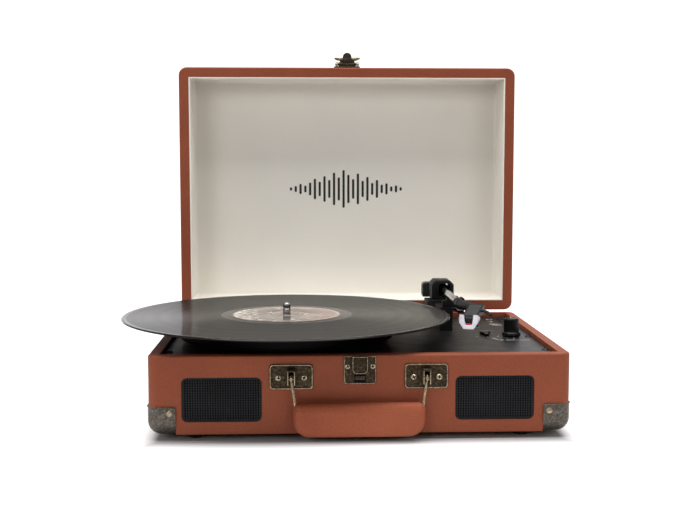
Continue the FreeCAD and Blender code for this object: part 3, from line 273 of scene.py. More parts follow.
def vinyl(name):
    """Pressed record: tracks of fine grooves with plain bands between them, glossy run-out and bead."""
    m, t, b = nmat(name)
    r, _ = radius_out(t, PX, PY)
    n1 = nd(t, "ShaderNodeTexNoise", noise_dimensions="1D")
    n1.inputs["Scale"].default_value = 1.0
    n1.inputs["Detail"].default_value = 6.0
    n1.inputs["Roughness"].default_value = 0.75
    t.links.new(math_n(t, "MULTIPLY", r, 0.9), n1.inputs["W"])
    n2 = nd(t, "ShaderNodeTexNoise", noise_dimensions="1D")
    n2.inputs["Scale"].default_value = 1.0
    n2.inputs["Detail"].default_value = 3.0
    t.links.new(math_n(t, "MULTIPLY", r, 7.0), n2.inputs["W"])
    tracks = nd(t, "ShaderNodeTexNoise", noise_dimensions="1D")
    tracks.inputs["Scale"].default_value = 1.0
    tracks.inputs["Detail"].default_value = 0.0
    t.links.new(math_n(t, "MULTIPLY", r, 0.13), tracks.inputs["W"])
    grooved = math_n(t, "MULTIPLY", math_n(t, "GREATER_THAN", r, 60.5), math_n(t, "LESS_THAN", r, 146.2))
    loud = mapr(t, tracks.outputs["Fac"], 0.35, 0.65, 0.0, 1.0)
    rough = math_n(t, "ADD", 0.24, math_n(t, "MULTIPLY", grooved, mapr(t, loud, 0.0, 1.0, 0.165, 0.185)))
    b.distribution = "GGX"
    t.links.new(rough, b.inputs["Roughness"])
    col = ramp(t, math_n(t, "MULTIPLY", grooved, mapr(t, n1.outputs["Fac"], 0.3, 0.7, 0.35, 1.0)),
               [(0.0, (0.0045, 0.0045, 0.0047)), (1.0, (0.0060, 0.0059, 0.0059))])
    t.links.new(col, b.inputs["Base Color"])
    b.inputs["Specular IOR Level"].default_value = 0.11
    b.inputs["Anisotropic"].default_value = 0.80
    b.inputs["Anisotropic Rotation"].default_value = 0.25
    tg = nd(t, "ShaderNodeTangent", direction_type="RADIAL", axis="Z")
    t.links.new(tg.outputs["Tangent"], b.inputs["Tangent"])
    b.inputs["Coat Weight"].default_value = 0.22
    b.inputs["Coat Roughness"].default_value = 0.05
    h = math_n(t, "MULTIPLY", grooved, math_n(t, "ADD", math_n(t, "MULTIPLY", n2.outputs["Fac"], 0.7), n1.outputs["Fac"]))
    bump(t, b, h, 0.05, 0.0001)
    return m


def label(name):
    """Generic printed label: mottled cream, grey and dusty pink paper with plain printed rings."""
    m, t, b = nmat(name)
    r, v = radius_out(t, PX, PY)
    a = nd(t, "ShaderNodeTexNoise")
    a.inputs["Scale"].default_value = 0.085
    a.inputs["Detail"].default_value = 7.0
    a.inputs["Roughness"].default_value = 0.72
    a.inputs["Distortion"].default_value = 1.4
    t.links.new(v, a.inputs["Vector"])
    col = ramp(t, a.outputs["Fac"], [(0.36, (0.022, 0.017, 0.016)), (0.46, (0.065, 0.050, 0.048)), (0.53, (0.17, 0.115, 0.10)), (0.6, (0.33, 0.26, 0.22)), (0.7, (0.62, 0.54, 0.46))])
    sx = nd(t, "ShaderNodeSeparateXYZ")
    t.links.new(v, sx.inputs[0])
    left = mapr(t, sx.outputs["X"], -46.0, -22.0, 0.75, 0.0)
    right = mapr(t, sx.outputs["X"], 8.0, 42.0, 0.0, 0.62)
    b2 = nd(t, "ShaderNodeTexNoise")
    b2.inputs["Scale"].default_value = 0.16
    b2.inputs["Detail"].default_value = 5.0
    t.links.new(v, b2.inputs["Vector"])
    col = mixc(t, math_n(t, "MULTIPLY", left, mapr(t, b2.outputs["Fac"], 0.42, 0.56, 0.0, 1.0)), col, (0.80, 0.75, 0.66))
    col = mixc(t, math_n(t, "MULTIPLY", right, mapr(t, b2.outputs["Fac"], 0.35, 0.6, 0.2, 1.0)), col, (0.40, 0.20, 0.17))
    for rr, w, k in ((47.6, 0.35, 0.75), (45.9, 0.2, 0.6), (12.5, 0.3, 0.7), (17.5, 0.9, 0.25)):
        d = math_n(t, "ABSOLUTE", math_n(t, "SUBTRACT", r, rr))
        col = mixc(t, math_n(t, "MULTIPLY", math_n(t, "LESS_THAN", d, w), k), col, (0.72, 0.63, 0.52))
    t.links.new(col, b.inputs["Base Color"])
    b.inputs["Roughness"].default_value = 0.24
    b.inputs["Specular IOR Level"].default_value = 0.5
    b.inputs["Coat Weight"].default_value = 0.35
    b.inputs["Coat Roughness"].default_value = 0.05
    bump(t, b, a.outputs["Fac"], 0.04, 0.0002)
    return m


def board(name):
    m, t, b = nmat(name)
    c = coords(t)
    f = tnoise(t, coords(t, scale=(1.0, 1.0, 6.0)), 500.0, 5.0, 0.7)
    col = ramp(t, f, [(0.3, (0.30, 0.20, 0.115)), (0.7, (0.50, 0.36, 0.23))])
    t.links.new(col, b.inputs["Base Color"])
    b.inputs["Roughness"].default_value = 0.86
    bump(t, b, f, 0.4, 0.0003)
    return m


def frosted(name):
    """Frosted translucent plastic with a faint lavender tint."""
    m, t, b = nmat(name)
    c = coords(t)
    g = tnoise(t, c, 1300.0, 3.0, 0.6)
    d = tnoise(t, c, 160.0, 4.0, 0.6)
    col = ramp(t, d, [(0.3, (0.70, 0.64, 0.78)), (0.7, (0.92, 0.90, 0.97))])
    t.links.new(col, b.inputs["Base Color"])
    b.inputs["Roughness"].default_value = 0.38
    b.inputs["Subsurface Weight"].default_value = 0.45
    b.inputs["Subsurface Radius"].default_value = (0.004, 0.003, 0.004)
    b.inputs["Subsurface Scale"].default_value = 0.6
    b.inputs["Transmission Weight"].default_value = 0.18
    bump(t, b, g, 0.12, 0.0001)
    return m


def pcb(name):
    m, t, b = nmat(name)
    c = coords(t)
    v = nd(t, "ShaderNodeTexBrick")
    v.inputs["Scale"].default_value = 210.0
    t.links.new(c, v.inputs["Vector"])
    col = mixc(t, mapr(t, v.outputs["Fac"], 0.0, 1.0, 0.0, 0.8), (0.012, 0.085, 0.030), (0.045, 0.20, 0.075))
    t.links.new(col, b.inputs["Base Color"])
    b.inputs["Roughness"].default_value = 0.35
    bump(t, b, v.outputs["Fac"], 0.2, 0.0001)
    return m


LEATHER = leather("leatherette_tan", (0.215, 0.051, 0.022), (0.262, 0.067, 0.030))
GRIP = leather("leatherette_grip", (0.255, 0.061, 0.026), (0.312, 0.082, 0.036), 1.15)
CREAM = paper("lining_cream", (0.855, 0.816, 0.742))
DECKM = plastic("deck_black", (0.0058, 0.0058, 0.0062), 0.44, 1250.0, 0.22, spec=0.28)
BLACK = plastic("black_satin", (0.0034, 0.0034, 0.0040), 0.33, 1700.0, 0.10, spec=0.18)
BLACK2 = plastic("black_matt", (0.0060, 0.0060, 0.0064), 0.55, 900.0, 0.25, spec=0.26)
# grey of the headshell's ribbed top panel: partly its own grey, partly painted top light
GREY_PANEL_TOPLIT = plastic("grey_panel_top_lit", (0.024, 0.025, 0.0275), 0.48, 1400.0, 0.18, spec=0.35)
GREYW = plastic("counterweight_grey", (0.016, 0.0165, 0.018), 0.30, 1100.0, 0.08, coat=0.2)
RUBBER = plastic("rubber_black", (0.014, 0.014, 0.014), 0.82, 700.0, 0.30, spec=0.3)
MESHM = plastic("grille_mesh", (0.0120, 0.0124, 0.0145), 0.42, 2200.0, 0.10, spec=0.26)
# near-black rough sheet for the backs of holes, slots and pockets: painted shade where the real part is open
SHADE_BLACK = plastic("hollow_shade_black", (0.003, 0.003, 0.003), 0.9, 500.0, 0.1, spec=0.1)
PRINT = plastic("white_print", (0.80, 0.80, 0.79), 0.6, 2400.0, 0.12, 0.1)
INK = plastic("black_ink", (0.014, 0.013, 0.013), 0.52, 1800.0, 0.10)
WHITEP = plastic("white_plastic", (0.70, 0.70, 0.68), 0.4, 1200.0, 0.1, 0.08)
RED = plastic("red_plastic", (0.62, 0.010, 0.016), 0.3, 1500.0, 0.06, 0.1)
ANT = antique("antique_plate", (0.014, 0.0095, 0.0055), (0.034, 0.024, 0.0135), (0.130, 0.092, 0.050))
ANTD = antique("antique_dark", (0.018, 0.015, 0.012), (0.045, 0.037, 0.028), (0.150, 0.122, 0.085), 0.46, 0.2)
ANTL = antique("antique_rubbed", (0.12, 0.092, 0.055), (0.33, 0.26, 0.165), (0.66, 0.55, 0.38), 0.32, 0.8)
ANTS = antique("antique_screw", (0.22, 0.18, 0.115), (0.50, 0.42, 0.28), (0.80, 0.71, 0.52), 0.26, 0.9)
ANTG = antique("antique_guard", (0.045, 0.040, 0.034), (0.098, 0.086, 0.072), (0.25, 0.222, 0.180), 0.48, 0.30)
STEEL = metal("polished_steel", (0.70, 0.70, 0.71), 0.16, (1.0, 0.12, 1.0))
STEELV = metal("turned_steel", (0.34, 0.33, 0.32), 0.14, (1.0, 1.0, 9.0))
ZINC = metal("zinc_plate", (0.52, 0.52, 0.50), 0.34)
DARKSC = metal("black_screw", (0.055, 0.055, 0.058), 0.36)
BRASS = metal("turned_brass", (0.66, 0.47, 0.20), 0.24, (1.0, 1.0, 8.0))
VINYL = vinyl("vinyl")
LABEL = label("label_print")
MDF = board("fibreboard")
FROST = frosted("frosted_guard")
MATM = plastic("mat_rubber", (0.0045, 0.0045, 0.0045), 0.85, 700.0, 0.30, spec=0.10)
PLATM = plastic("platter_black", (0.0032, 0.0032, 0.0035), 0.62, 1500.0, 0.15, spec=0.10)
ARMB = plastic("arm_black", (0.0050, 0.0050, 0.0056), 0.50, 1500.0, 0.12, spec=0.20)
PCB = pcb("solder_mask")
CONE = plastic("paper_cone", (0.022, 0.021, 0.020), 0.8, 1100.0, 0.5)

# ------------------------------------------------------------------ mesh helpers, in millimetres


def add_box(bm, x0, x1, y0, y1, z0, z1, r=0.0, seg=2, M=None, mi=0):
    g = bmesh.ops.create_cube(bm, size=1.0)
    vs = g["verts"]
    for v in vs:
        v.co = Vector((x0 + (v.co.x + 0.5) * (x1 - x0), y0 + (v.co.y + 0.5) * (y1 - y0), z0 + (v.co.z + 0.5) * (z1 - z0)))
        if M is not None:
            v.co = M @ v.co
    fs = {f for v in vs for f in v.link_faces}
    for f in fs:
        f.material_index = mi
    if r > 0:
        es = list({e for v in vs for e in v.link_edges})
        bmesh.ops.bevel(bm, geom=es, offset=r, segments=seg, profile=0.5, affect="EDGES", clamp_overlap=True)
    return bm


def rrect(cx, cy, w, h, r, seg=5):
    """Rounded rectangle, anticlockwise. r is one radius or four: right-top, left-top, left-bottom, right-bottom."""
    rs = r if isinstance(r, (list, tuple)) else (r, r, r, r)
    pts = []
    for k, (sx, sy, a0) in enumerate(((1, 1, 0), (-1, 1, 90), (-1, -1, 180), (1, -1, 270))):
        q = max(rs[k], 1e-3)
        ox, oy = cx + sx * (w / 2 - q), cy + sy * (h / 2 - q)
        n = seg if q > 0.01 else 0
        for i in range(n + 1):
            a = math.radians(a0 + 90.0 * i / max(n, 1))
            pts.append((ox + q * math.cos(a), oy + q * math.sin(a)))
    return pts


def to3(axis, p, a):
    if axis == "x":
        return Vector((a, p[0], p[1]))
    if axis == "y":
        return Vector((p[0], a, p[1]))
    return Vector((p[0], p[1], a))


def add_prism(bm, pts, axis, a0, a1, r=0.0, seg=2, M=None, mi=0, taper=None):
    """Outline pushed along an axis, with its two rims rounded."""
    T = M or Matrix.Identity(4)
    n = len(pts)
    lo = [bm.verts.new(T @ to3(axis, p, a0)) for p in pts]
    q = pts if taper is None else [(taper[0] + (p[0] - taper[0]) * taper[2], taper[1] + (p[1] - taper[1]) * taper[2]) for p in pts]
    hi = [bm.verts.new(T @ to3(axis, p, a1)) for p in q]
    fs = [bm.faces.new(lo), bm.faces.new(hi)]
    rim = []
    for i in range(n):
        j = (i + 1) % n
        fs.append(bm.faces.new((lo[i], lo[j], hi[j], hi[i])))
    for f in fs:
        f.material_index = mi
    if r > 0:
        es = list({e for f in fs[:2] for e in f.edges})
        bmesh.ops.recalc_face_normals(bm, faces=fs)
        bmesh.ops.bevel(bm, geom=es, offset=r, segments=seg, profile=0.5, affect="EDGES", clamp_overlap=True)
    return bm


def add_ring(bm, outer, inner, axis, a0, a1, mi=0, M=None, r=0.0, seg=2):
    """Flat ring between two outlines with the same number of points."""
    T = M or Matrix.Identity(4)
    n = len(outer)
    q = [[bm.verts.new(T @ to3(axis, p, a)) for p in ps] for ps, a in ((outer, a0), (outer, a1), (inner, a1), (inner, a0))]
    fs = []
    es = []
    for k in range(4):
        a, b2 = q[k], q[(k + 1) % 4]
        for i in range(n):
            j = (i + 1) % n
            fs.append(bm.faces.new((a[i], a[j], b2[j], b2[i])))
    for f in fs:
        f.material_index = mi
    if r > 0:
        bmesh.ops.recalc_face_normals(bm, faces=fs)
        for k in (0, 1, 2, 3):
            for i in range(n):
                e = bm.edges.get((q[k][i], q[k][(i + 1) % n]))
                if e:
                    es.append(e)
        bmesh.ops.bevel(bm, geom=es, offset=r, segments=seg, profile=0.5, affect="EDGES", clamp_overlap=True)
    return bm


def add_lathe(bm, prof, M=None, seg=64, closed=False, mi=0, wobble=None, mis=None):
    """Profile of (radius, height) turned round the local Z axis."""
    T = M or Matrix.Identity(4)
    rings = []
    for r, h in prof:
        if r <= 1e-6:
            rings.append([bm.verts.new(T @ Vector((0, 0, h)))])
            continue
        ring = []
        for i in range(seg):
            a = 2 * math.pi * i / seg
            rr = r if wobble is None else wobble(r, h, a)
            ring.append(bm.verts.new(T @ Vector((rr * math.cos(a), rr * math.sin(a), h))))
        rings.append(ring)
    pairs = list(zip(rings, rings[1:]))
    if closed:
        pairs.append((rings[-1], rings[0]))
    for k, (a, b2) in enumerate(pairs):
        m2 = mi if mis is None else mis[k]
        for i in range(seg):
            j = (i + 1) % seg
            if len(a) == 1 and len(b2) == 1:
                continue
            if len(a) == 1:
                f = bm.faces.new((a[0], b2[j], b2[i]))
            elif len(b2) == 1:
                f = bm.faces.new((a[i], a[j], b2[0]))
            else:
                f = bm.faces.new((a[i], a[j], b2[j], b2[i]))
            f.material_index = m2
    return bm


def AT(x, y, z, axis="z"):
    T = Matrix.Translation((x, y, z))
    if axis == "y":
        return T @ Matrix.Rotation(math.radians(-90), 4, "X")
    if axis == "-y":
        return T @ Matrix.Rotation(math.radians(90), 4, "X")
    if axis == "x":
        return T @ Matrix.Rotation(math.radians(90), 4, "Y")
    if axis == "-x":
        return T @ Matrix.Rotation(math.radians(-90), 4, "Y")
    if axis == "-z":
        return T @ Matrix.Rotation(math.radians(180), 4, "X")
    return T


def smooth_path(ctrl, per=10):
    """Points of a Catmull-Rom curve through the control points."""
    P = [Vector(c) for c in ctrl]
    P = [P[0] * 2 - P[1]] + P + [P[-1] * 2 - P[-2]]
    out = []
    for k in range(1, len(P) - 2):
        for i in range(per):
            t = i / per
            a, b2, c, d = P[k - 1], P[k], P[k + 1], P[k + 2]
            out.append(0.5 * ((2 * b2) + (c - a) * t + (2 * a - 5 * b2 + 4 * c - d) * t * t + (3 * b2 - a - 3 * c + d) * t ** 3))
    out.append(P[-2])
    return out


def add_tube(bm, pts, r, seg=16, mi=0, flat=None, ends=True):
    """Round bar along a line; r is one radius or one for each point. flat squeezes it along one local axis."""
    P = [Vector(p) for p in pts]
    n = len(P)
    R = r if isinstance(r, (list, tuple)) else [r] * n
    up = Vector((0, 0, 1))
    prev = None
    rings = []
    for i in range(n):
        d = (P[min(i + 1, n - 1)] - P[max(i - 1, 0)]).normalized()
        if prev is None:
            u = up if abs(d.dot(up)) < 0.95 else Vector((1, 0, 0))
            a = d.cross(u).normalized()
        else:
            a = (prev - d * prev.dot(d)).normalized()
        b2 = d.cross(a).normalized()
        prev = a
        ring = []
        for k in range(seg):
            w = 2 * math.pi * k / seg
            fa, fb = (1, 1) if flat is None else flat
            ring.append(bm.verts.new(P[i] + (a * math.cos(w) * fa + b2 * math.sin(w) * fb) * R[i]))
        rings.append(ring)
    for a, b2 in zip(rings, rings[1:]):
        for k in range(seg):
            j = (k + 1) % seg
            f = bm.faces.new((a[k], a[j], b2[j], b2[k]))
            f.material_index = mi
    if ends:
        for ring in (rings[0], rings[-1]):
            f = bm.faces.new(ring)
            f.material_index = mi
    return bm


def boolean(a, b2, op="DIFFERENCE"):
    """bm a with bm b2 taken from it, or joined to it. Both are used up."""
    obs = []
    for k, bm in enumerate((a, b2)):
        bmesh.ops.recalc_face_normals(bm, faces=bm.faces)
        me = bpy.data.meshes.new("tmp%d" % k)
        bm.to_mesh(me)
        bm.free()
        ob = bpy.data.objects.new("tmp%d" % k, me)
        scene.collection.objects.link(ob)
        obs.append(ob)
    md = obs[0].modifiers.new("b", "BOOLEAN")
    md.operation = op
    md.solver = "EXACT"
    md.object = obs[1]
    dg = bpy.context.evaluated_depsgraph_get()
    me = bpy.data.meshes.new_from_object(obs[0].evaluated_get(dg))
    out = bmesh.new()
    out.from_mesh(me)
    for ob in obs:
        m0 = ob.data
        bpy.data.objects.remove(ob)
        bpy.data.meshes.remove(m0)
    bpy.data.meshes.remove(me)
    return out


def soften(bm, r, seg=2, angle=40):
    """Round every edge sharper than the angle."""
    bmesh.ops.remove_doubles(bm, verts=bm.verts, dist=0.001)
    bm.normal_update()
    es = [e for e in bm.edges if len(e.link_faces) == 2 and e.calc_face_angle(0) > math.radians(angle)]
    if es:
        bmesh.ops.bevel(bm, geom=es, offset=r, segments=seg, profile=0.5, affect="EDGES", clamp_overlap=True)
    return bm


def merge(bm, other, M=None):
    """Copy of the mesh 'other' into bm."""
    me = bpy.data.meshes.new("m")
    other.to_mesh(me)
    if M is not None:
        me.transform(M)
    bm.from_mesh(me)
    bpy.data.meshes.remove(me)
    return bm


def piece(name, bm, mats, body, angle=35, repl=(), recalc=True):
    if recalc:
        bmesh.ops.recalc_face_normals(bm, faces=bm.faces)
    for v in bm.verts:
        v.co *= MM
    me = bpy.data.meshes.new(name)
    bm.to_mesh(me)
    bm.free()
    ob = bpy.data.objects.new(name, me)
    scene.collection.objects.link(ob)
    for m in (mats if isinstance(mats, (list, tuple)) else (mats,)):
        me.materials.append(m)
    for p in me.polygons:
        p.use_smooth = True
    me.set_sharp_from_angle(angle=math.radians(angle))
    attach(ob, body)
    if repl:
        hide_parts(*repl)
    return ob


def cad(node, mat, angle=30):
    """Finish for a CAD node whose own shape is right."""
    ob = N[node]
    ob.data.materials.clear()
    ob.data.materials.append(mat)
    return ob


def screw_template(r=2.6, h=1.5, size=1.0):
    """Dome head with a cross recess; it stands on z = 0."""
    bm = bmesh.new()
    prof = [(0, -0.3), (r * 0.96, -0.3), (r, 0.0), (r * 0.985, h * 0.22), (r * 0.9, h * 0.52), (r * 0.72, h * 0.78), (r * 0.45, h * 0.94), (0, h)]
    add_lathe(bm, prof, seg=28)
    out = bm
    for a in (0, 90):
        cut = bmesh.new()
        M = Matrix.Rotation(math.radians(a), 4, "Z")
        # the recess walls take the second material, which the pieces give a darker finish: painted shade in the cross
        add_box(cut, -r * 0.62 * size, r * 0.62 * size, -r * 0.2, r * 0.2, h * 0.28, h + 2, M=M, mi=1)
        out = boolean(out, cut)
    return out


SCREW = screw_template()
SCREWF = screw_template(3.1, 1.3, 0.9)


def add_screw(bm, x, y, z, axis, tpl=None, spin=0.0, s=1.0):
    M = AT(x, y, z, axis) @ Matrix.Rotation(math.radians(spin), 4, "Z") @ Matrix.Scale(s, 4)
    return merge(bm, tpl or SCREW, M)


# ------------------------------------------------------------------ CAD nodes that keep their own shape
for n_, m_ in {
    "base_shell": MDF, "bottom_board": MDF, "deck_battens": MDF, "lid_shell": MDF,
    "base_wrap": LEATHER, "lid_wrap": LEATHER, "lid_liner": CREAM,
    "deck_plate": DECKM, "base_corner_guards": ANTG, "lid_corner_guards": ANTG,
    "speaker_frames": ZINC, "speaker_cones": CONE, "bearing_bush": BRASS, "motor": ZINC,
    "motor_pulley": WHITEP, "drive_belt": RUBBER, "volume_pot": ZINC, "main_board": PCB,
    "base_hinge_leaves": ANT, "lid_hinge_leaves": ANT, "hinge_pins": ZINC,
    "cartridge": ARMB, "tonearm_base": ARMB, "cue_bar": BLACK2,
}.items():
    cad(n_, m_)

# ------------------------------------------------------------------ speaker grilles
for i, s in enumerate((-1, 1)):
    cx, cz, w, h = FX + 114.4 * s, 34.9, 67.5, 38.2
    bm = bmesh.new()
    # leatherette lip turned into the opening
    add_ring(bm, rrect(cx, cz, w + 0.02, h + 0.02, 0.02, 6), rrect(cx, cz, w - 0.7, h - 0.7, 5.0, 6), "y", -129.05, -126.6)
    piece("grille_lip_%d" % i, bm, LEATHER, "root", 50)
    bm = bmesh.new()
    w2, h2 = w - 0.7, h - 0.7
    # near-black plate behind the bars: painted shade standing in for the dark space behind the grille
    add_prism(bm, rrect(cx, cz, w2, h2, 5.0, 6), "y", -127.0, -126.3, mi=1)
    add_ring(bm, rrect(cx, cz, w2, h2, 5.0, 6), rrect(cx, cz, w2 - 2.2, h2 - 2.2, 4.0, 6), "y", -127.9, -126.9, mi=0, r=0.25)
    p = 2.1
    nx, nz = int((w2 - 2.6) / p), int((h2 - 2.6) / p)

    def inset(u, half, q=4.0):
        d = max(0.0, abs(u) - (half - q))
        return q - math.sqrt(max(0.0, q * q - d * d))
    for k in range(nx + 1):
        u = (k - nx / 2) * p
        hh = (h2 - 2.2) / 2 - inset(u, (w2 - 2.2) / 2) + 0.3
        add_box(bm, cx + u - 0.46, cx + u + 0.46, -128.25, -127.35, cz - hh, cz + hh, r=0.25, seg=1)
    for k in range(nz + 1):
        u = (k - nz / 2) * p
        hh = (w2 - 2.2) / 2 - inset(u, (h2 - 2.2) / 2) + 0.3
        add_box(bm, cx - hh, cx + hh, -127.75, -127.1, cz + u - 0.3, cz + u + 0.3, r=0.2, seg=1)
    ob = piece("grille_%d" % i, bm, [MESHM, SHADE_BLACK], "root", 40)
    if i == 0:
        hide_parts("speaker_grilles")

# ------------------------------------------------------------------ rubber feet
bm = bmesh.new()
for x, y in ((-139.5, -112.0), (138.0, -112.0), (-139.5, 108.0), (138.0, 108.0)):
    add_lathe(bm, [(0, 0.5), (1.9, 0.5), (2.1, 0.0), (5.2, 0.0), (5.9, 0.5), (6.4, 4.4), (6.6, 5.4), (0, 5.5)], AT(x, y, 0), seg=40)
piece("feet", bm, RUBBER, "root", 40, ["rubber_feet"])

# ------------------------------------------------------------------ deck screws, sockets, printed marks
bm = bmesh.new()
for k, (x, y) in enumerate(((-163.5, -87.0), (-163.5, 0.0), (-163.5, 87.0), (164.5, -87.0), (164.5, -14.0), (164.5, 58.0))):
    add_screw(bm, x, y, DECK + 0.02, "z", SCREWF, 17 + 41 * k)
# the second material darkens the cross recesses: painted shade
piece("deck_screw_heads", bm, [DARKSC, BLACK2], "root", 35, ["deck_screws"])

bm = bmesh.new()
for x, y in ((158.3, 98.8), (157.4, 82.2)):
    add_lathe(bm, [(1.8, -13.0), (1.8, 0.9), (2.1, 1.2), (3.1, 1.25), (3.5, 0.9), (4.1, 0.75), (4.4, 0.45), (4.4, 0.0), (3.0, -0.2), (3.0, -14.0)], AT(x, y, DECK), seg=44, closed=True)
    # near-black disc deep in each jack: painted shade at the bottom of the hole
    add_lathe(bm, [(0, -12.8), (1.79, -12.8), (1.79, -12.2), (0, -12.2)], AT(x, y, DECK), seg=20, mi=1)
    add_box(bm, x - 9, x - 3.2, y - 6, y + 6, 50.5, 63.9, 0.6)
piece("sockets", bm, [BLACK, SHADE_BLACK], "root", 35, ["audio_jacks"])

bm = bmesh.new()


def dot(x, y, r, hgt=0.06):
    add_lathe(bm, [(0, 0), (r, 0), (r, hgt), (0, hgt)], AT(x, y, DECK), seg=14)


def tick(x, y, ln, wd, ang):
    M = Matrix.Translation((x, y, DECK)) @ Matrix.Rotation(math.radians(ang), 4, "Z")
    add_box(bm, -ln / 2, ln / 2, -wd / 2, wd / 2, 0.0, 0.06, M=M)


for k in range(11):
    a = math.radians(-240 + 30 * k)
    rr = 12.6
    if k in (0, 5, 10):
        tick(KX + rr * math.cos(a), KY + rr * math.sin(a), 2.6, 0.55, math.degrees(a))
    else:
        dot(KX + rr * math.cos(a), KY + rr * math.sin(a), 0.38)
tick(151.0, -34.0, 22.0, 0.55, 0)
tick(131.4, -27.0, 9.0, 0.8, -58)
tick(136.0, -33.0, 4.0, 0.8, -20)
for k, (x, y) in enumerate(((151.0, 98.8), (150.2, 82.2))):
    # headphone arc and a round plug mark
    if k == 0:
        for j in range(9):
            a = math.radians(20 + 17.5 * j)
            tick(x - 4 + 2.6 * math.cos(a), y + 2.6 * math.sin(a), 0.9, 0.45, math.degrees(a) + 90)
        dot(x - 6.6, y - 0.2, 0.8)
        dot(x - 1.4, y - 0.2, 0.8)
    else:
        dot(x - 4, y, 1.2)
        tick(x - 6.6, y, 2.4, 0.45, 0)
for k_, (dx_, dy_, ln_, an_) in enumerate(((0.0, 0.0, 3.4, 60), (2.2, 0.6, 3.2, -55), (4.2, -0.4, 2.6, 35), (6.4, 0.3, 3.0, -10), (8.2, -0.6, 2.2, 50))):
    tick(143.6 + dx_, 60.0 + 2.0 * dy_, ln_, 0.9, an_)
    tick(142.4 + dx_ * 0.8, 66.0 + dy_, ln_ * 0.8, 0.7, an_ + 20)
tick(125.0, 44.0, 6.0, 0.4, 0)
dot(125.0, 62.0, 0.7)
for k, a in enumerate((-125, -90, -55)):
    tick(126 + 17.5 * math.cos(math.radians(a)), 1 + 17.5 * math.sin(math.radians(a)), 2.2, 0.5, a)
piece("deck_marks", bm, PRINT, "root", 35)

# ------------------------------------------------------------------ corner guards: rolled borders and nails
bm = bmesh.new()


def guard_border(bm, sx, sy, sz, X, Y, Z, reach, faces):
    """Rolled border along the free edges of one corner guard. X, Y, Z is the corner of the case."""
    g, q, rr = reach, 0.95, 0.55
    for f in faces:
        if f == "y":
            pts = [(X - sx * 7.5, Y + sy * q, Z - sz * g), (X - sx * (g - 2.2), Y + sy * q, Z - sz * g), (X - sx * (g - 0.6), Y + sy * q, Z - sz * (g - 0.6)), (X - sx * g, Y + sy * q, Z - sz * (g - 2.2)), (X - sx * g, Y + sy * q, Z - sz * 8.0)]
        elif f == "x":
            pts = [(X + sx * q, Y - sy * 7.5, Z - sz * g), (X + sx * q, Y - sy * (g - 2.2), Z - sz * g), (X + sx * q, Y - sy * (g - 0.6), Z - sz * (g - 0.6)), (X + sx * q, Y - sy * g, Z - sz * (g - 2.2)), (X + sx * q, Y - sy * g, Z - sz * 8.0)]
        else:
            pts = [(X - sx * 7.5, Y - sy * g, Z + sz * q), (X - sx * (g - 2.2), Y - sy * g, Z + sz * q), (X - sx * (g - 0.6), Y - sy * (g - 0.6), Z + sz * q), (X - sx * g, Y - sy * (g - 2.2), Z + sz * q), (X - sx * g, Y - sy * 8.0, Z + sz * q)]
        add_tube(bm, pts, rr, 10, flat=(1, 1))


def nail(bm, M, r=2.8, h=1.2):
    add_lathe(bm, [(0, -0.2), (r, -0.2), (r * 0.98, h * 0.25), (r * 0.82, h * 0.62), (r * 0.5, h * 0.92), (0, h)], M, seg=24)


borders, nails = bmesh.new(), bmesh.new()
for sx in (-1, 1):
    for sy in (-1, 1):
        guard_border(borders, sx, sy, -1, HW * sx, HD * sy, ZB, 23.1, ("x", "y"))
        nail(nails, AT((HW - 18.5) * sx, (HD + 0.9) * sy, ZB + 18.0, "y" if sy > 0 else "-y"))
        nail(nails, AT((HW + 0.9) * sx, (HD - 18.5) * sy, ZB + 18.0, "x" if sx > 0 else "-x"))
        nail(nails, AT((HW - 18.5) * sx, (HD - 18.5) * sy, ZB - 0.9, "-z"))
bm.free()
piece("base_guard_borders", borders, ANTG, "root", 50)
piece("base_nails", nails, ANTL, "root", 40, ["base_corner_nails"])
borders, nails = bmesh.new(), bmesh.new()
for sx in (-1, 1):
    for sz in (-1, 1):
        Z = LT if sz > 0 else LZ
        guard_border(borders, sx, 1, sz, HW * sx, LY + LD, Z, 23.1, ("x", "y") if sz < 0 else ("x", "y", "z"))
        nail(nails, AT((HW - 18.0) * sx, LY + LD + 0.9, Z - 18.0 * sz, "y"))
        nail(nails, AT((HW + 0.9) * sx, LY + LD - 18.0, Z - 18.0 * sz, "x" if sx > 0 else "-x"))
        nail(nails, AT((HW - 18.0) * sx, LY + LD - 18.0, Z + 0.9 * sz, "z" if sz > 0 else "-z"))
piece("lid_guard_borders", borders, ANTG, "lid", 50)
piece("lid_nails", nails, ANTL, "lid", 40, ["lid_corner_nails"])

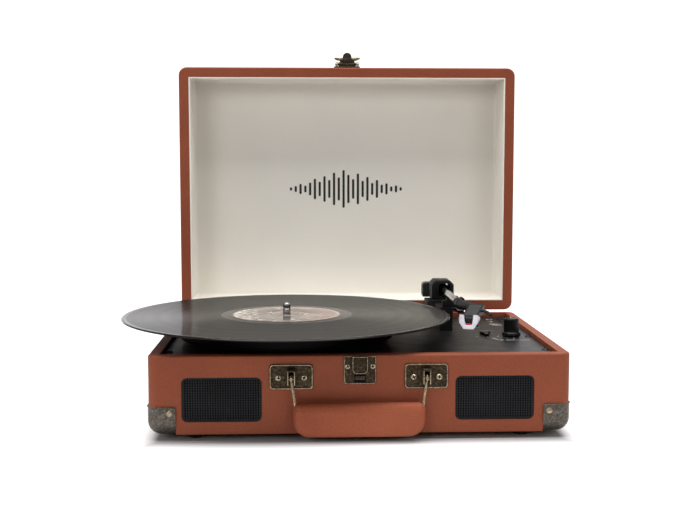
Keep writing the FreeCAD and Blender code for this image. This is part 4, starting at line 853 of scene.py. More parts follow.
# ------------------------------------------------------------------ handle: brackets, wires and padded grip
screws = bmesh.new()
bm = bmesh.new()
for s in (-1, 1):
    cx = FX + 56.5 * s
    # dished plate with a rolled rim
    add_prism(bm, rrect(cx, 54.0, 34.6, 19.4, 2.4, 6), "y", -129.0, -129.9, mi=0)
    add_ring(bm, rrect(cx, 54.0, 36.4, 21.2, 3.0, 6), rrect(cx, 54.0, 33.4, 18.2, 1.9, 6), "y", -130.6, -128.98, mi=1, r=0.45, seg=3)
    # channel for the wire: two cheeks, a cap and a near-black plate at the back of the pocket, painted shade in the
    # channel
    add_box(bm, cx - 3.6, cx - 1.9, -136.6, -129.6, 47.7, 61.0, 0.5, 3, mi=1)
    add_box(bm, cx + 1.9, cx + 3.6, -136.6, -129.6, 47.7, 61.0, 0.5, 3, mi=1)
    add_box(bm, cx - 3.6, cx + 3.6, -136.6, -129.6, 58.9, 61.0, 0.6, 3, mi=0)
    add_box(bm, cx - 2.1, cx + 2.1, -130.2, -129.7, 48.0, 60.0, mi=2)
    add_lathe(bm, [(0, -3.7), (1.3, -3.7), (1.3, 3.7), (0, 3.7)], AT(cx, -133.6, 53.0, "x"), seg=20, mi=1)
    add_screw(screws, cx - 10.7, -129.9, 53.2, "-y", spin=12 + 20 * s, s=1.02)
    add_screw(screws, cx + 10.7, -129.9, 53.2, "-y", spin=-24 + 15 * s, s=1.02)
piece("handle_bracket_plates", bm, [ANT, ANTL, SHADE_BLACK], "root", 40, ["handle_brackets"])

bm = bmesh.new()
for s in (-1, 1):
    cx = FX + 56.5 * s
    pts = []
    for k in range(21):
        a = math.radians(-75 + 330 * k / 20.0)
        pts.append((cx - s * 0.1 * k / 20.0, -133.6 - 2.45 * math.cos(a), 53.0 + 2.45 * math.sin(a)))
    pts = pts[::-1]
    leg = smooth_path([pts[-1], (cx - s * 0.7, -134.9, 48.2), (cx - s * 2.0, -135.9, 40.5), (cx - s * 3.0, -136.7, 33.6), (cx - s * 3.6, -137.2, 24.5)], 8)
    add_tube(bm, pts[:-1] + leg, 1.18, 16)
piece("handle_wire_loops", bm, ANTL, "handle", 60, ["handle_wires"])

bm = bmesh.new()
x0, x1, z0, z1 = FX - 54.8, FX + 54.8, 4.8, 33.2
YC, TH = -137.6, 7.0


def grip_outline(d, seg=12, straight=24):
    """Outline of the grip moved inwards by d, always the same number of points."""
    w, h = (x1 - x0) / 2 - d, (z1 - z0) / 2 - d
    cxx, czz = (x0 + x1) / 2, (z0 + z1) / 2
    pts = []
    rt, rb = max(5.5 - d * 0.6, 0.6), max(15.0 - d * 1.06, 0.8)
    cor = ((1, 1, 0, rt), (-1, 1, 90, rt), (-1, -1, 180, rb), (1, -1, 270, rb))
    for k in range(4):
        sx, sz, a0, r = cor[k]
        r = min(r, h * 0.98, w * 0.98)
        ox, oz = cxx + sx * (w - r), czz + sz * (h - r)
        for i in range(seg + 1):
            a = math.radians(a0 + 90.0 * i / seg)
            pts.append((ox + r * math.cos(a), oz + r * math.sin(a)))
        sx2, sz2, a2, r2 = cor[(k + 1) % 4]
        r2 = min(r2, h * 0.98, w * 0.98)
        o2 = (cxx + sx2 * (w - r2), czz + sz2 * (h - r2))
        aa = math.radians(a0 + 90)
        pa = (ox + r * math.cos(aa), oz + r * math.sin(aa))
        pb = (o2[0] + r2 * math.cos(aa), o2[1] + r2 * math.sin(aa))
        n = straight if k in (0, 2) else 6
        for i in range(1, n):
            u = i / n
            pts.append((pa[0] * (1 - u) + pb[0] * u, pa[1] * (1 - u) + pb[1] * u))
    return pts


def thick(d):
    """Half thickness of the padding at a distance in from the edge."""
    u = min(d / 7.2, 1.0)
    return 0.9 + (TH - 0.9) * (1 - (1 - u) ** 2.3) ** 0.56


depths = [0.0, 0.18, 0.5, 1.0, 1.7, 2.6, 3.8, 5.2, 6.8, 8.6, 10.6, 12.4, 13.6]
rings = []
for d in depths[::-1]:
    rings.append([bm.verts.new((p[0], YC - thick(d), p[1])) for p in grip_outline(d)])
for d in depths:
    rings.append([bm.verts.new((p[0], YC + thick(d), p[1])) for p in grip_outline(d)])
nn = len(rings[0])
for a, b2 in zip(rings, rings[1:]):
    for i in range(nn):
        j = (i + 1) % nn
        bm.faces.new((a[i], a[j], b2[j], b2[i]))
for ring in (rings[0], rings[-1]):
    # each end ring is closed with one face, which is then cut into triangles
    n2 = nn // 2
    bm.faces.new(ring)
bmesh.ops.triangulate(bm, faces=[f for f in bm.faces if len(f.verts) > 4])
for v in bm.verts:
    x, y, z = v.co
    e = min(abs(x - x0), abs(x1 - x))
    # gathers where the cover is pulled round the wires, and a soft unevenness in the padding
    g = math.exp(-((e - 5.0) / 4.5) ** 2) * math.exp(-((z - 28.5) / 5.0) ** 2)
    wave = math.sin(e * 1.9 + z * 0.55) * 0.34 * g
    soft = noise.noise(Vector((x * 0.05, y * 0.05, z * 0.09))) * 0.30 + noise.noise(Vector((x * 0.16, 3.0, z * 0.16))) * 0.10
    side = -1.0 if y < YC else 1.0
    # a flat seam band along the top of the pad
    band = -0.35 * math.exp(-((z - 29.4) / 0.7) ** 2) * (1 if abs(y - YC) > 2.0 else 0)
    v.co.y += side * (wave + soft + band) * min(1.0, abs(y - YC) / 5.0)
    v.co.z += 0.25 * noise.noise(Vector((x * 0.035, 9.0, 0.0)))
for v in bm.verts:
    v.co.y = max(-144.9, min(-130.4, v.co.y))
    v.co.z = max(4.4, min(33.5, v.co.z))
grip = piece("handle_grip_pad", bm, GRIP, "handle", 80, ["handle_grip"])
# stitched edge round the grip
bm = bmesh.new()
line = [(p[0], p[1]) for p in grip_outline(1.6)]
tot = 0.0
last = None
acc = 0.0
path = line + [line[0]]
stitches = []
for (ax_, az_), (bx_, bz_) in zip(path, path[1:]):
    L = math.hypot(bx_ - ax_, bz_ - az_)
    if L < 1e-6:
        continue
    t0 = 0.0
    while acc + (L - t0) >= 3.1:
        t0 += 3.1 - acc
        acc = 0.0
        stitches.append((ax_ + (bx_ - ax_) * t0 / L, az_ + (bz_ - az_) * t0 / L, math.atan2(bz_ - az_, bx_ - ax_)))
    acc += L - t0
for sx_, sz_, a in stitches:
    if sz_ > 31.0:
        continue
    y = YC - thick(1.6) + 0.12
    c, s2 = math.cos(a), math.sin(a)
    add_tube(bm, [(sx_ - c * 0.95, y + 0.25, sz_ - s2 * 0.95), (sx_ - c * 0.5, y - 0.12, sz_ - s2 * 0.5), (sx_ + c * 0.5, y - 0.12, sz_ + s2 * 0.5), (sx_ + c * 0.95, y + 0.25, sz_ + s2 * 0.95)], 0.24, 6)
STITCH = leather("stitch_thread", (0.20, 0.066, 0.034), (0.26, 0.085, 0.044))
piece("handle_stitches", bm, STITCH, "handle", 60)

# ------------------------------------------------------------------ latch on the base
bm = bmesh.new()
add_prism(bm, rrect(LX, 59.45, 26.0, 22.9, 1.9, 6), "y", -129.0, -129.95, mi=0)
add_ring(bm, rrect(LX, 59.45, 27.0, 23.9, [1.0, 1.0, 2.6, 2.6], 6), rrect(LX, 59.45, 24.9, 21.8, [0.6, 0.6, 1.7, 1.7], 6), "y", -130.4, -128.98, mi=1, r=0.34, seg=3)
# spring tongue: a raised pan with a rolled rim
add_prism(bm, rrect(LX, 63.9, 12.6, 14.2, [0.8, 0.8, 3.6, 3.6], 6), "y", -129.6, -132.3, r=0.7, seg=3, mi=0)
add_ring(bm, rrect(LX, 63.9, 13.4, 15.0, [1.0, 1.0, 4.2, 4.2], 6), rrect(LX, 63.9, 10.9, 12.5, [0.6, 0.6, 3.0, 3.0], 6), "y", -133.1, -131.4, mi=1, r=0.45, seg=3)
# near-black patch round the thumb lever: painted shade in the slot under it
add_box(bm, LX - 4.8, LX + 4.8, -130.05, -129.7, 48.9, 55.6, 0.1, 1, mi=2)
add_screw(screws, LX - 10.4, -129.9, 62.4, "-y", spin=30, s=0.92)
add_screw(screws, LX + 10.6, -129.9, 62.4, "-y", spin=8, s=0.92)
piece("latch_plates", bm, [ANT, ANTL, SHADE_BLACK], "root", 40, ["latch_plate"])
bm = bmesh.new()
add_prism(bm, rrect(LX, 53.1, 8.2, 3.6, 0.9, 4), "y", -129.6, -132.2, r=0.5, seg=3)
add_prism(bm, rrect(LX, 53.1, 5.4, 1.2, 0.5, 4), "y", -132.0, -132.5, r=0.2, seg=2)
piece("latch_thumb", bm, ANTD, "latch", 40, ["latch_lever"])

# hinge screws on the back of the base
for s in (-1, 1):
    for j, dx in enumerate((-10.0, 0.0, 10.0)):
        add_screw(screws, 110.0 * s + dx, 130.0, 56.0, "y", spin=33 * j + 9 * s)
# the second material darkens the cross recesses: painted shade
piece("base_screw_heads", screws, [ANTS, ANTD], "root", 35, ["base_hardware_screws"])

# ------------------------------------------------------------------ hasp on the lid
bm = bmesh.new()
add_prism(bm, rrect(LX, LY + 12.9, 27.0, 22.2, 2.0, 6), "z", LT - 0.05, LT + 1.2, r=0.4, seg=3, mi=0)
add_ring(bm, rrect(LX, LY + 12.9, 27.0, 22.2, 2.0, 6), rrect(LX, LY + 12.9, 24.8, 20.0, 1.4, 6), "z", LT + 0.8, LT + 1.55, mi=1, r=0.3, seg=3)
for s in (-1, 1):
    xa, xb = sorted((LX + 9.6 * s, LX + 12.2 * s))
    pts = [(134.6, LT + 0.9), (139.4, LT + 0.9), (139.4, LT + 4.2), (138.4, LT + 5.7), (137.0, LT + 6.2), (135.6, LT + 5.7), (134.6, LT + 4.2)]
    add_prism(bm, pts, "x", xa, xb, r=0.35, seg=2, mi=1)
piece("hasp_base", bm, [ANT, ANTL], "lid", 40, ["hasp_plate"])
bm = bmesh.new()
hz = LT + 3.7
add_lathe(bm, [(0, -9.2), (1.7, -9.2), (2.1, -8.8), (2.1, 8.8), (1.7, 9.2), (0, 9.2)], AT(LX, 137.0, hz, "x"), seg=24, mi=0)
add_lathe(bm, [(0, -12.6), (0.9, -12.5), (1.03, -12.2), (1.03, 12.2), (0.9, 12.5), (0, 12.6)], AT(LX, 137.0, hz, "x"), seg=16, mi=1)
# tongue: a stepped pan that widens to the claw
pts = [(LX - 7.0, hz), (LX + 7.0, hz), (LX + 7.9, hz + 2.6), (LX + 7.4, LT + 9.6), (LX + 5.6, LT + 10.6), (LX - 5.6, LT + 10.6), (LX - 7.4, LT + 9.6), (LX - 7.9, hz + 2.6)]
add_prism(bm, pts, "y", 135.5, 138.5, r=0.5, seg=2, mi=0)
pts = [(LX - 5.4, hz + 1.6), (LX + 5.4, hz + 1.6), (LX + 5.8, LT + 8.6), (LX - 5.8, LT + 8.6)]
add_prism(bm, pts, "y", 135.6, 134.9, r=0.3, seg=2, mi=1)
# bright curled ends of the claw
for s in (-1, 1):
    P = smooth_path([(LX + 5.0 * s, 137.0, LT + 9.5), (LX + 8.8 * s, 136.9, LT + 9.3), (LX + 11.6 * s, 136.9, LT + 10.0), (LX + 13.0 * s, 137.0, LT + 10.9)], 6)
    add_tube(bm, P, [1.9 - 0.7 * (i / (len(P) - 1)) ** 3 for i in range(len(P))], 14, mi=2)
add_lathe(bm, [(0, -1.3), (4.3, -1.3), (4.6, -0.8), (4.6, 0.9), (4.1, 1.5), (2.6, 1.9), (0, 2.0)], AT(LX, 137.0, LT + 11.3, "y"), seg=32, mi=3)
piece("hasp_claw", bm, [ANTD, ANT, ANTL, ANTD], "hasp_body", 40, ["hasp"])
screws = bmesh.new()
add_screw(screws, LX - 10.6, LY + 17.5, LT + 1.2, "z", spin=20, s=1.2)
add_screw(screws, LX + 10.6, LY + 17.5, LT + 1.2, "z", spin=50, s=1.2)
for s in (-1, 1):
    for dx in (-10.0, 0.0, 10.0):
        add_screw(screws, 110.0 * s + dx, LY + 14.0, LZ - 1.0, "-z", s=0.8)
# the second material darkens the cross recesses: painted shade
piece("lid_screw_heads", screws, [ANTD, BLACK2], "lid", 35, ["lid_hardware_screws"])

# ------------------------------------------------------------------ lid lining: plain motif and edge beads
bm = bmesh.new()
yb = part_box("lid_liner")[1].y * 1000 - 1.0
hts = [4, 7, 12, 8, 15, 24, 17, 30, 21, 38, 27, 44, 33, 23, 36, 19, 28, 14, 21, 10, 13, 6, 8, 4]
for k, hgt in enumerate(hts):
    x = (k - (len(hts) - 1) / 2) * 5.3
    hh = hgt * 0.95
    add_prism(bm, rrect(x, 203.0, 2.5, hh, 1.24, 5), "y", yb - 0.12, yb + 0.05)
piece("lid_motif", bm, INK, "lid", 35)
a, b2 = box_mm("lid_liner")
bm = bmesh.new()
o = rrect((a[0] + b2[0]) / 2, (a[2] + b2[2]) / 2, b2[0] - a[0] - 0.1, b2[2] - a[2] - 0.1, 1.2, 4)
q = rrect((a[0] + b2[0]) / 2, (a[2] + b2[2]) / 2, b2[0] - a[0] - 2.6, b2[2] - a[2] - 2.6, 0.9, 4)
add_ring(bm, o, q, "y", a[1] - 0.15, a[1] + 2.2, r=0.5, seg=3)
# soft cove where the lining turns from the walls to the panel
ins = 1.0
xs0, xs1, zs0, zs1 = a[0] + ins, b2[0] - ins, a[2] + ins, b2[2] - ins


def cove(bm, p0, p1, u, v, r=2.6, seg=5):
    """Concave fillet between two faces that meet along p0-p1; u and v point away along the faces."""
    P0, P1, U, W = Vector(p0), Vector(p1), Vector(u), Vector(v)
    prof = [Vector((0, 0, 0))]
    for i in range(seg + 1):
        t = math.pi / 2 * i / seg
        prof.append(U * (r - r * math.sin(t)) + W * (r - r * math.cos(t)))
    A = [bm.verts.new(P0 + p) for p in prof]
    B = [bm.verts.new(P1 + p) for p in prof]
    n = len(prof)
    for i in range(n):
        j = (i + 1) % n
        bm.faces.new((A[i], A[j], B[j], B[i]))
    bm.faces.new(A)
    bm.faces.new(B)


yi = yb
cove(bm, (xs0, yi, zs0), (xs1, yi, zs0), (0, -1, 0), (0, 0, 1))
cove(bm, (xs0, yi, zs1), (xs1, yi, zs1), (0, -1, 0), (0, 0, -1))
cove(bm, (xs0, yi, zs0), (xs0, yi, zs1), (0, -1, 0), (1, 0, 0))
cove(bm, (xs1, yi, zs0), (xs1, yi, zs1), (0, -1, 0), (-1, 0, 0))
for xx, sx in ((xs0, 1), (xs1, -1)):
    for zz, sz in ((zs0, 1), (zs1, -1)):
        cove(bm, (xx, a[1] + 1.5, zz), (xx, yi, zz), (sx, 0, 0), (0, 0, sz), 2.0)
piece("lid_lining_edges", bm, CREAM, "lid", 40)

# ------------------------------------------------------------------ platter, mat, spindle
pb = box_mm("platter")
PR = (pb[1][0] - pb[0][0]) / 2
PT = pb[1][2]
bm = bmesh.new()
prof = [(4.2, 70.2), (12, 70.2), (12, PT - 3.6), (65, PT - 3.6), (65, 72), (68, 72), (68, PT - 3.6), (PR - 3.5, PT - 3.6), (PR - 3.5, 72.6), (PR - 2.9, 72.4), (PR - 1.4, 72.4), (PR - 0.3, 72.7), (PR, 73.2),
        (PR - 0.5, 73.6), (PR - 0.5, 75.0), (PR, 75.6), (PR, PT - 4.2), (PR - 0.5, PT - 3.6), (PR - 0.5, PT - 2.4), (PR, PT - 1.8), (PR - 0.4, PT - 0.6), (PR - 1.2, PT), (4.2, PT)]
add_lathe(bm, prof, AT(PX, PY, 0), seg=180, closed=True)
piece("platter_disc", bm, PLATM, "platter_body", 35, ["platter"])
bm = bmesh.new()
mp = [(9.0, PT), (PR - 3, PT)]
top = PT + 1.5
mp += [(PR - 3, top - 0.5), (PR - 3.5, top)]
r = PR - 6
while r > 54:
    mp += [(r, top), (r - 0.7, top - 0.45), (r - 1.6, top - 0.45), (r - 2.3, top)]
    r -= 5.2
mp += [(52, top), (51.4, top - 0.6), (10.0, top - 0.6), (9.0, top - 0.9)]
add_lathe(bm, mp, AT(PX, PY, 0), seg=160, closed=True)
piece("platter_mat_ribbed", bm, MATM, "platter_body", 35, ["platter_mat"])
bm = bmesh.new()
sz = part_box("spindle")[1].z * 1000
sprof = [(0, 47.0), (2.6, 47.0), (3.0, 47.4), (3.0, 70.0), (3.55, 70.2), (3.575, sz - 6.2), (3.3, sz - 5.9), (3.3, sz - 5.4), (3.575, sz - 5.1), (3.575, sz - 2.7), (3.45, sz - 1.9), (3.05, sz - 1.05), (2.3, sz - 0.42), (1.3, sz - 0.1), (0, sz)]
add_lathe(bm, sprof, AT(PX, PY, 0), seg=48)
piece("spindle_pin", bm, STEELV, "platter_body", 40, ["spindle"])

# ------------------------------------------------------------------ record and labels
bm = bmesh.new()
e0, e1 = RZ0, RZ1
half = [(3.62, -0.84), (50.0, -0.84), (50.6, -0.88), (51.6, -0.95), (52.8, -0.95), (54.0, -0.78), (55.2, -0.70), (60.0, -0.70), (60.4, -0.68), (146.0, -0.68), (146.6, -0.70), (147.6, -0.86), (148.8, -0.95), (149.7, -0.88), (150.4, -0.6), (RECR, -0.12)]
mid_ = (e0 + e1) / 2
prof = [(r_, mid_ + h_) for r_, h_ in half] + [(r_, mid_ - h_) for r_, h_ in half[::-1]]
add_lathe(bm, prof, AT(PX, PY, 0), seg=360, closed=True)
piece("record_disc", bm, VINYL, "record_body", 30, ["record"])
bm = bmesh.new()
for zt, s in ((e1 - 0.09, 1), (e0 + 0.09, -1)):
    add_lathe(bm, [(3.66, zt - 0.04 * s), (3.66, zt + 0.06 * s), (4.2, zt + 0.09 * s), (16.8, zt + 0.09 * s), (17.0, zt + 0.04 * s), (17.4, zt + 0.04 * s), (17.6, zt + 0.09 * s), (49.5, zt + 0.09 * s), (49.8, zt + 0.05 * s), (49.8, zt - 0.04 * s)], AT(PX, PY, 0), seg=128, closed=True)
piece("record_label_discs", bm, LABEL, "record_body", 30, ["record_labels"])

# ------------------------------------------------------------------ volume knob and levers
bm = bmesh.new()


def flutes(r, h, a):
    if 73.0 < h < 83.6:
        return r - 0.16 * (0.5 + 0.5 * math.cos(40 * a)) ** 0.7
    return r


kp = [(0, 58.0), (2.0, 58.0), (2.0, 68.6), (8.0, 68.6), (8.75, 69.1), (8.75, 71.0), (8.3, 71.8), (7.6, 72.2), (7.25, 72.6), (7.2, 73.2), (7.15, 76.0), (7.05, 80.0), (6.95, 83.4), (6.85, 83.9), (6.6, 84.7), (6.1, 85.15), (5.4, 85.3), (5.2, 85.1), (0, 85.05)]
add_lathe(bm, kp, AT(KX, KY, 0), seg=160, wobble=flutes)
add_box(bm, KX - 0.4, KX + 0.4, KY + 2.0, KY + 6.0, 84.95, 85.25, 0.1, 1, mi=1)
piece("knob_fluted", bm, [BLACK, PRINT], "knob", 35, ["volume_knob"])

bm = bmesh.new()
add_lathe(bm, [(0, 60.5), (2.5, 60.5), (2.5, 68.5), (4.6, 68.5), (5.0, 68.8), (5.0, 70.6), (4.6, 71.1), (0, 71.2)], AT(126.0, 1.0, 0), seg=48)
pts = [(124.2, 1.0), (123.9, -9.0), (124.3, -12.0), (125.2, -13.3), (126.8, -13.3), (127.7, -12.0), (128.1, -9.0), (127.8, 1.0)]
add_prism(bm, pts, "z", 68.5, 70.6, r=0.45, seg=3)
add_prism(bm, [(125.3, -12.3), (126.7, -12.3), (126.6, -8.6), (125.4, -8.6)], "z", 70.55, 70.9, r=0.1, seg=1)
piece("speed_selector", bm, BLACK, "speed", 35, ["speed_lever"])
bm = bmesh.new()
add_prism(bm, rrect(125.0, 50.5, 4.8, 4.0, 0.8, 4), "z", 68.4, 71.0, r=0.4, seg=2)
for k in range(3):
    add_box(bm, 122.9, 127.1, 49.2 + 1.3 * k - 0.2, 49.2 + 1.3 * k + 0.2, 70.85, 71.2, 0.12, 1)
add_box(bm, 123.9, 126.1, 49.4, 51.6, 62.0, 68.5)
piece("autostop_slider", bm, BLACK, "autostop", 35, ["autostop_lever"])

# ------------------------------------------------------------------ tonearm
# housing: chamfered block with a recess and a collar where the tube comes out
bm = bmesh.new()
hz0, hz1 = 92.0, 111.3
c_ = 3.8
HX0, HX1 = AX - 13.0, AX + 9.6
outl = [(HX0, hz0), (HX1, hz0), (HX1, hz1 - c_), (HX1 - c_, hz1), (HX0 + c_, hz1), (HX0, hz1 - c_)]
add_prism(bm, outl, "y", AY - 14, AY + 13)
cut = bmesh.new()
add_prism(cut, rrect(AX, AZ, 12.8, 14.8, 4.4, 6), "y", AY - 20, AY + 20)
hb = boolean(bm, cut)
soften(hb, 0.55, 2)
bm = hb
add_ring(bm, rrect(AX, AZ, 14.2, 16.0, 5.2, 6), rrect(AX, AZ, 12.2, 14.7, 4.3, 6), "y", AY - 14.5, AY - 12.0, r=0.35)
# raised face plate round the opening
add_ring(bm, [(HX0 + 1.6, hz0 + 1.4), (HX1 - 1.6, hz0 + 1.4), (HX1 - 1.6, hz1 - c_ - 0.6), (HX1 - c_ - 0.6, hz1 - 1.6), (HX0 + c_ + 0.6, hz1 - 1.6), (HX0 + 1.6, hz1 - c_ - 0.6)],
         [(HX0 + 3.0, hz0 + 2.6), (HX1 - 2.6, hz0 + 2.6), (HX1 - 2.6, hz1 - c_ - 1.2), (HX1 - c_ - 1.2, hz1 - 2.8), (HX0 + c_ + 1.2, hz1 - 2.8), (HX0 + 3.0, hz1 - c_ - 1.2)], "y", AY - 14.35, AY - 13.6, r=0.2)
for s, xx in ((-1, HX0), (1, HX1)):
    add_lathe(bm, [(0, -0.4), (2.6, -0.4), (2.6, 0.3), (2.2, 0.6), (0, 0.6)], AT(xx, AY, AZ, "x" if s > 0 else "-x"), seg=24, mi=1)
add_box(bm, HX0 + 5.0, HX1 - 5.0, AY - 11.0, AY + 10.0, hz1 - 0.2, hz1 + 0.3, 0.25, 2)
add_lathe(bm, [(0, -11.5), (1, -11.5), (1, 8.4), (0, 8.4)], AT(AX, AY, AZ, "x"), seg=16, mi=1)
add_lathe(bm, [(0, 60.5), (3.0, 60.5), (3.0, 92.4), (0, 92.4)], AT(AX, AY, 0), seg=32, mi=0)
# lip closing the back of the opening above the tube
add_box(bm, AX - 6.5, AX + 6.5, AY + 10.6, AY + 12.6, AZ + 4.4, AZ + 7.6, 0.2, 1)
piece("arm_housing", bm, [ARMB, DARKSC], "yoke", 35, ["tonearm_yoke"])

bm = bmesh.new()
add_lathe(bm, [(0, -32.0), (2.9, -32.0), (3.2, -31.6), (3.2, 70.0), (3.2, 117.6), (2.9, 118.0), (0, 118.0)], AT(AX, 0, AZ, "y"), seg=40)
piece("arm_tube", bm, STEEL, "arm", 40, ["tonearm_tube"])
bm = bmesh.new()
add_lathe(bm, [(3.22, 79.8), (3.45, 80.0), (3.6, 80.6), (3.6, 85.0), (5.1, 86.5), (5.1, 97.0), (5.0, 99.0), (4.4, 100.0), (3.22, 100.2)], AT(AX, 0, AZ, "y"), seg=36, closed=True)
add_lathe(bm, [(3.22, 88.0), (5.7, 88.0), (5.7, 89.2), (5.3, 89.8), (5.7, 90.4), (5.7, 91.6), (5.3, 92.2), (5.7, 92.8), (5.7, 95.0), (3.22, 95.0)], AT(AX, 0, AZ, "y"), seg=36, closed=True)
add_lathe(bm, [(3.22, 103.0), (3.6, 103.2), (3.6, 110.4), (3.22, 110.6)], AT(AX, 0, AZ, "y"), seg=36, closed=True)
piece("arm_collars", bm, ARMB, "arm", 40)

bm = bmesh.new()
add_prism(bm, rrect(90.5, 98.5, 25.0, 15.2, [2.4, 2.4, 1.2, 1.2], 6), "y", 110.0, 122.0, r=0.7, seg=3)
add_box(bm, 80.5, 100.5, 112.4, 119.6, 105.9, 106.5, 0.25, 2)
for k in range(3):
    add_box(bm, 77.6, 78.4, 113.0 + 2.6 * k, 114.2 + 2.6 * k, 93.0, 104.0, 0.25, 1)
piece("arm_counterweight", bm, GREYW, "arm", 35, ["counterweight"])

# neck: one curved moulding from the tube to the headshell
HA = math.radians(18.0)
HPos = Vector((105.0, -79.5, 0.0))
NZ = 103.6
P = smooth_path([(AX, -22.0, AZ), (AX, -28.0, AZ), (AX + 0.15, -34.0, AZ), (AX + 1.4, -43.0, AZ + 0.35), (AX + 4.4, -60.0, AZ + 1.2), (AX + 7.3, -75.0, AZ + 2.0), (AX + 7.9, -81.0, AZ + 2.1)], 7)
rad = []
for i, p in enumerate(P):
    u = (-22.0 - p.y) / 59.0
    rad.append(4.5 - 0.75 * u + (0.35 if -36 < p.y < -31 else 0.0))
bm = bmesh.new()
add_tube(bm, P, rad, 28)
add_lathe(bm, [(3.25, -22.6), (4.5, -22.4), (4.9, -21.9), (4.9, -20.4), (4.5, -19.9), (3.25, -19.7)], AT(AX, 0, AZ, "y"), seg=36, closed=True)
piece("arm_neck_moulding", bm, ARMB, "arm", 50, ["arm_neck"])

HM = Matrix.Translation(HPos) @ Matrix.Rotation(-HA, 4, "Z")
bm = bmesh.new()
side = [(0.5, 99.1), (0.5, 107.2), (-1.0, 108.0), (-4.0, 107.6), (-38.4, 102.6), (-41.0, 101.9), (-42.2, 101.0), (-41.8, 100.0), (-38.0, 99.3)]
add_prism(bm, side, "x", -6.6, 6.6)
for v in bm.verts:
    # slightly narrower nose
    t_ = min(1.0, max(0.0, -v.co.y / 42.0))
    v.co.x *= 1.0 - 0.10 * t_
soften(bm, 0.7, 3, 25)
for v in bm.verts:
    v.co = HM @ v.co
# ribs along the top, and a plain panel between them, in a lighter grey that is partly the panel's own grey and partly
# painted top light
SLOPE = math.atan2(107.6 - 102.6, 34.4)
TOPM = HM @ Matrix.Translation((0, -4.0, 107.6)) @ Matrix.Rotation(SLOPE, 4, "X")
for k in range(7):
    x = -4.05 + 1.35 * k
    add_tube(bm, [TOPM @ Vector((x, -1.6, 0.05)), TOPM @ Vector((x * 0.93, -33.6, 0.05))], 0.34, 8, mi=1)
add_prism(bm, [(-5.4, -0.6), (-4.8, -34.3), (4.8, -34.3), (5.4, -0.6)], "z", -0.3, 0.12, mi=1, M=TOPM)
# finger lift: a curled strip on the outer side
strip = smooth_path([(5.6, -18.0, 103.9), (8.6, -18.2, 104.3), (11.6, -18.8, 103.5), (14.2, -19.6, 102.0), (16.2, -20.2, 100.7)], 6)
add_tube(bm, [HM @ p for p in strip], [2.6] * (len(strip) - 3) + [2.4, 2.0, 1.4], 16, flat=(1.0, 0.46))
piece("arm_headshell", bm, [ARMB, GREY_PANEL_TOPLIT], "arm", 30, ["headshell"])

bm = bmesh.new()
add_box(bm, -2.3, 2.3, -42.3, -30.0, 95.3, 97.0, 0.35, 2, M=HM)
add_prism(bm, [(-2.3, -42.3), (2.3, -42.3), (1.1, -44.0), (-1.1, -44.0)], "z", 95.4, 96.6, r=0.2, M=HM)
add_lathe(bm, [(0, -1.3), (0.15, -1.2), (0.75, 0.1), (0, 0.1)], HM @ Matrix.Translation((0, -38.0, 95.4)), seg=16, mi=1)
piece("arm_stylus", bm, [RED, STEEL], "arm", 35, ["stylus"])
bm = bmesh.new()
add_box(bm, -3.2, 3.2, -42.7, -34.0, 97.0, 101.0, 0.7, 3, M=HM)
add_prism(bm, [(-3.2, 97.0), (3.2, 97.0), (2.2, 95.9), (-2.2, 95.9)], "y", -42.3, -38.5, r=0.3, M=HM)
piece("arm_cartridge_nose", bm, BLACK2, "arm", 35)

# stylus guard: frosted cup with an open front slot, narrow at the foot
bm = bmesh.new()
outl = [(-6.9, 103.4), (-7.2, 101.0), (-7.15, 97.8), (-5.5, 95.3), (-3.9, 92.95), (3.9, 92.95), (5.5, 95.3), (7.15, 97.8), (7.2, 101.0), (6.9, 103.4)]
add_prism(bm, outl, "y", -45.2, -27.0)
soften(bm, 0.9, 3, 14)
cut = bmesh.new()
inl = [(-6.5, 112.0), (-6.5, 98.4), (-4.9, 96.3), (-3.3, 93.9), (3.3, 93.9), (4.9, 96.3), (6.5, 98.4), (6.5, 112.0)]
add_prism(cut, inl, "y", -43.9, -20.0)
g = boolean(bm, cut)
cut = bmesh.new()
add_prism(cut, [(-2.9, 95.9), (-2.5, 95.4), (2.5, 95.4), (2.9, 95.9), (3.7, 100.5), (4.6, 112.0), (-4.6, 112.0), (-3.7, 100.5)], "y", -50.0, -41.0)
g = boolean(g, cut)
cut = bmesh.new()
# the walls slope down to the back
add_prism(cut, [(-26.0, 99.0), (-41.0, 103.9), (-41.0, 112.0), (-26.0, 112.0)], "x", -12.0, 12.0)
g = boolean(g, cut)
for k in range(3):
    for s_ in (-1, 1):
        add_box(g, 7.0 * s_ - 0.3, 7.0 * s_ + 0.3, -43.0 + 3.6 * k, -42.0 + 3.6 * k, 98.0, 101.2, 0.25, 1)
for v in g.verts:
    v.co = HM @ v.co
piece("guard_cup", g, FROST, "guard", 35, ["stylus_guard"])

# arm rest: cradle with rounded horns and a boss for the clip
bm = bmesh.new()
pro = [(88.0, 91.0), (106.0, 91.0), (106.0, 97.2), (105.2, 97.9), (103.6, 97.9), (103.6, 101.0), (103.1, 101.9), (102.1, 101.9), (101.6, 101.0)]
for k in range(13):
    a = math.radians(-6 - 168 * k / 12.0)
    pro.append((AX + 4.3 * math.cos(a), AZ + 4.3 * math.sin(a)))
pro += [(92.2, 97.9), (88.9, 97.9), (88.0, 97.2)]
add_prism(bm, pro, "y", 24.6, 29.9, r=0.3, seg=2)
add_lathe(bm, [(0, 25.0), (2.2, 25.0), (2.4, 25.3), (2.4, 30.2), (2.0, 30.5), (1.0, 30.6), (1.0, 34.2), (0.8, 34.4), (0, 34.4)], AT(107.6, 0, 97.9, "y"), seg=28)
piece("arm_rest_cradle", bm, ARMB, "root", 35, ["arm_rest"])

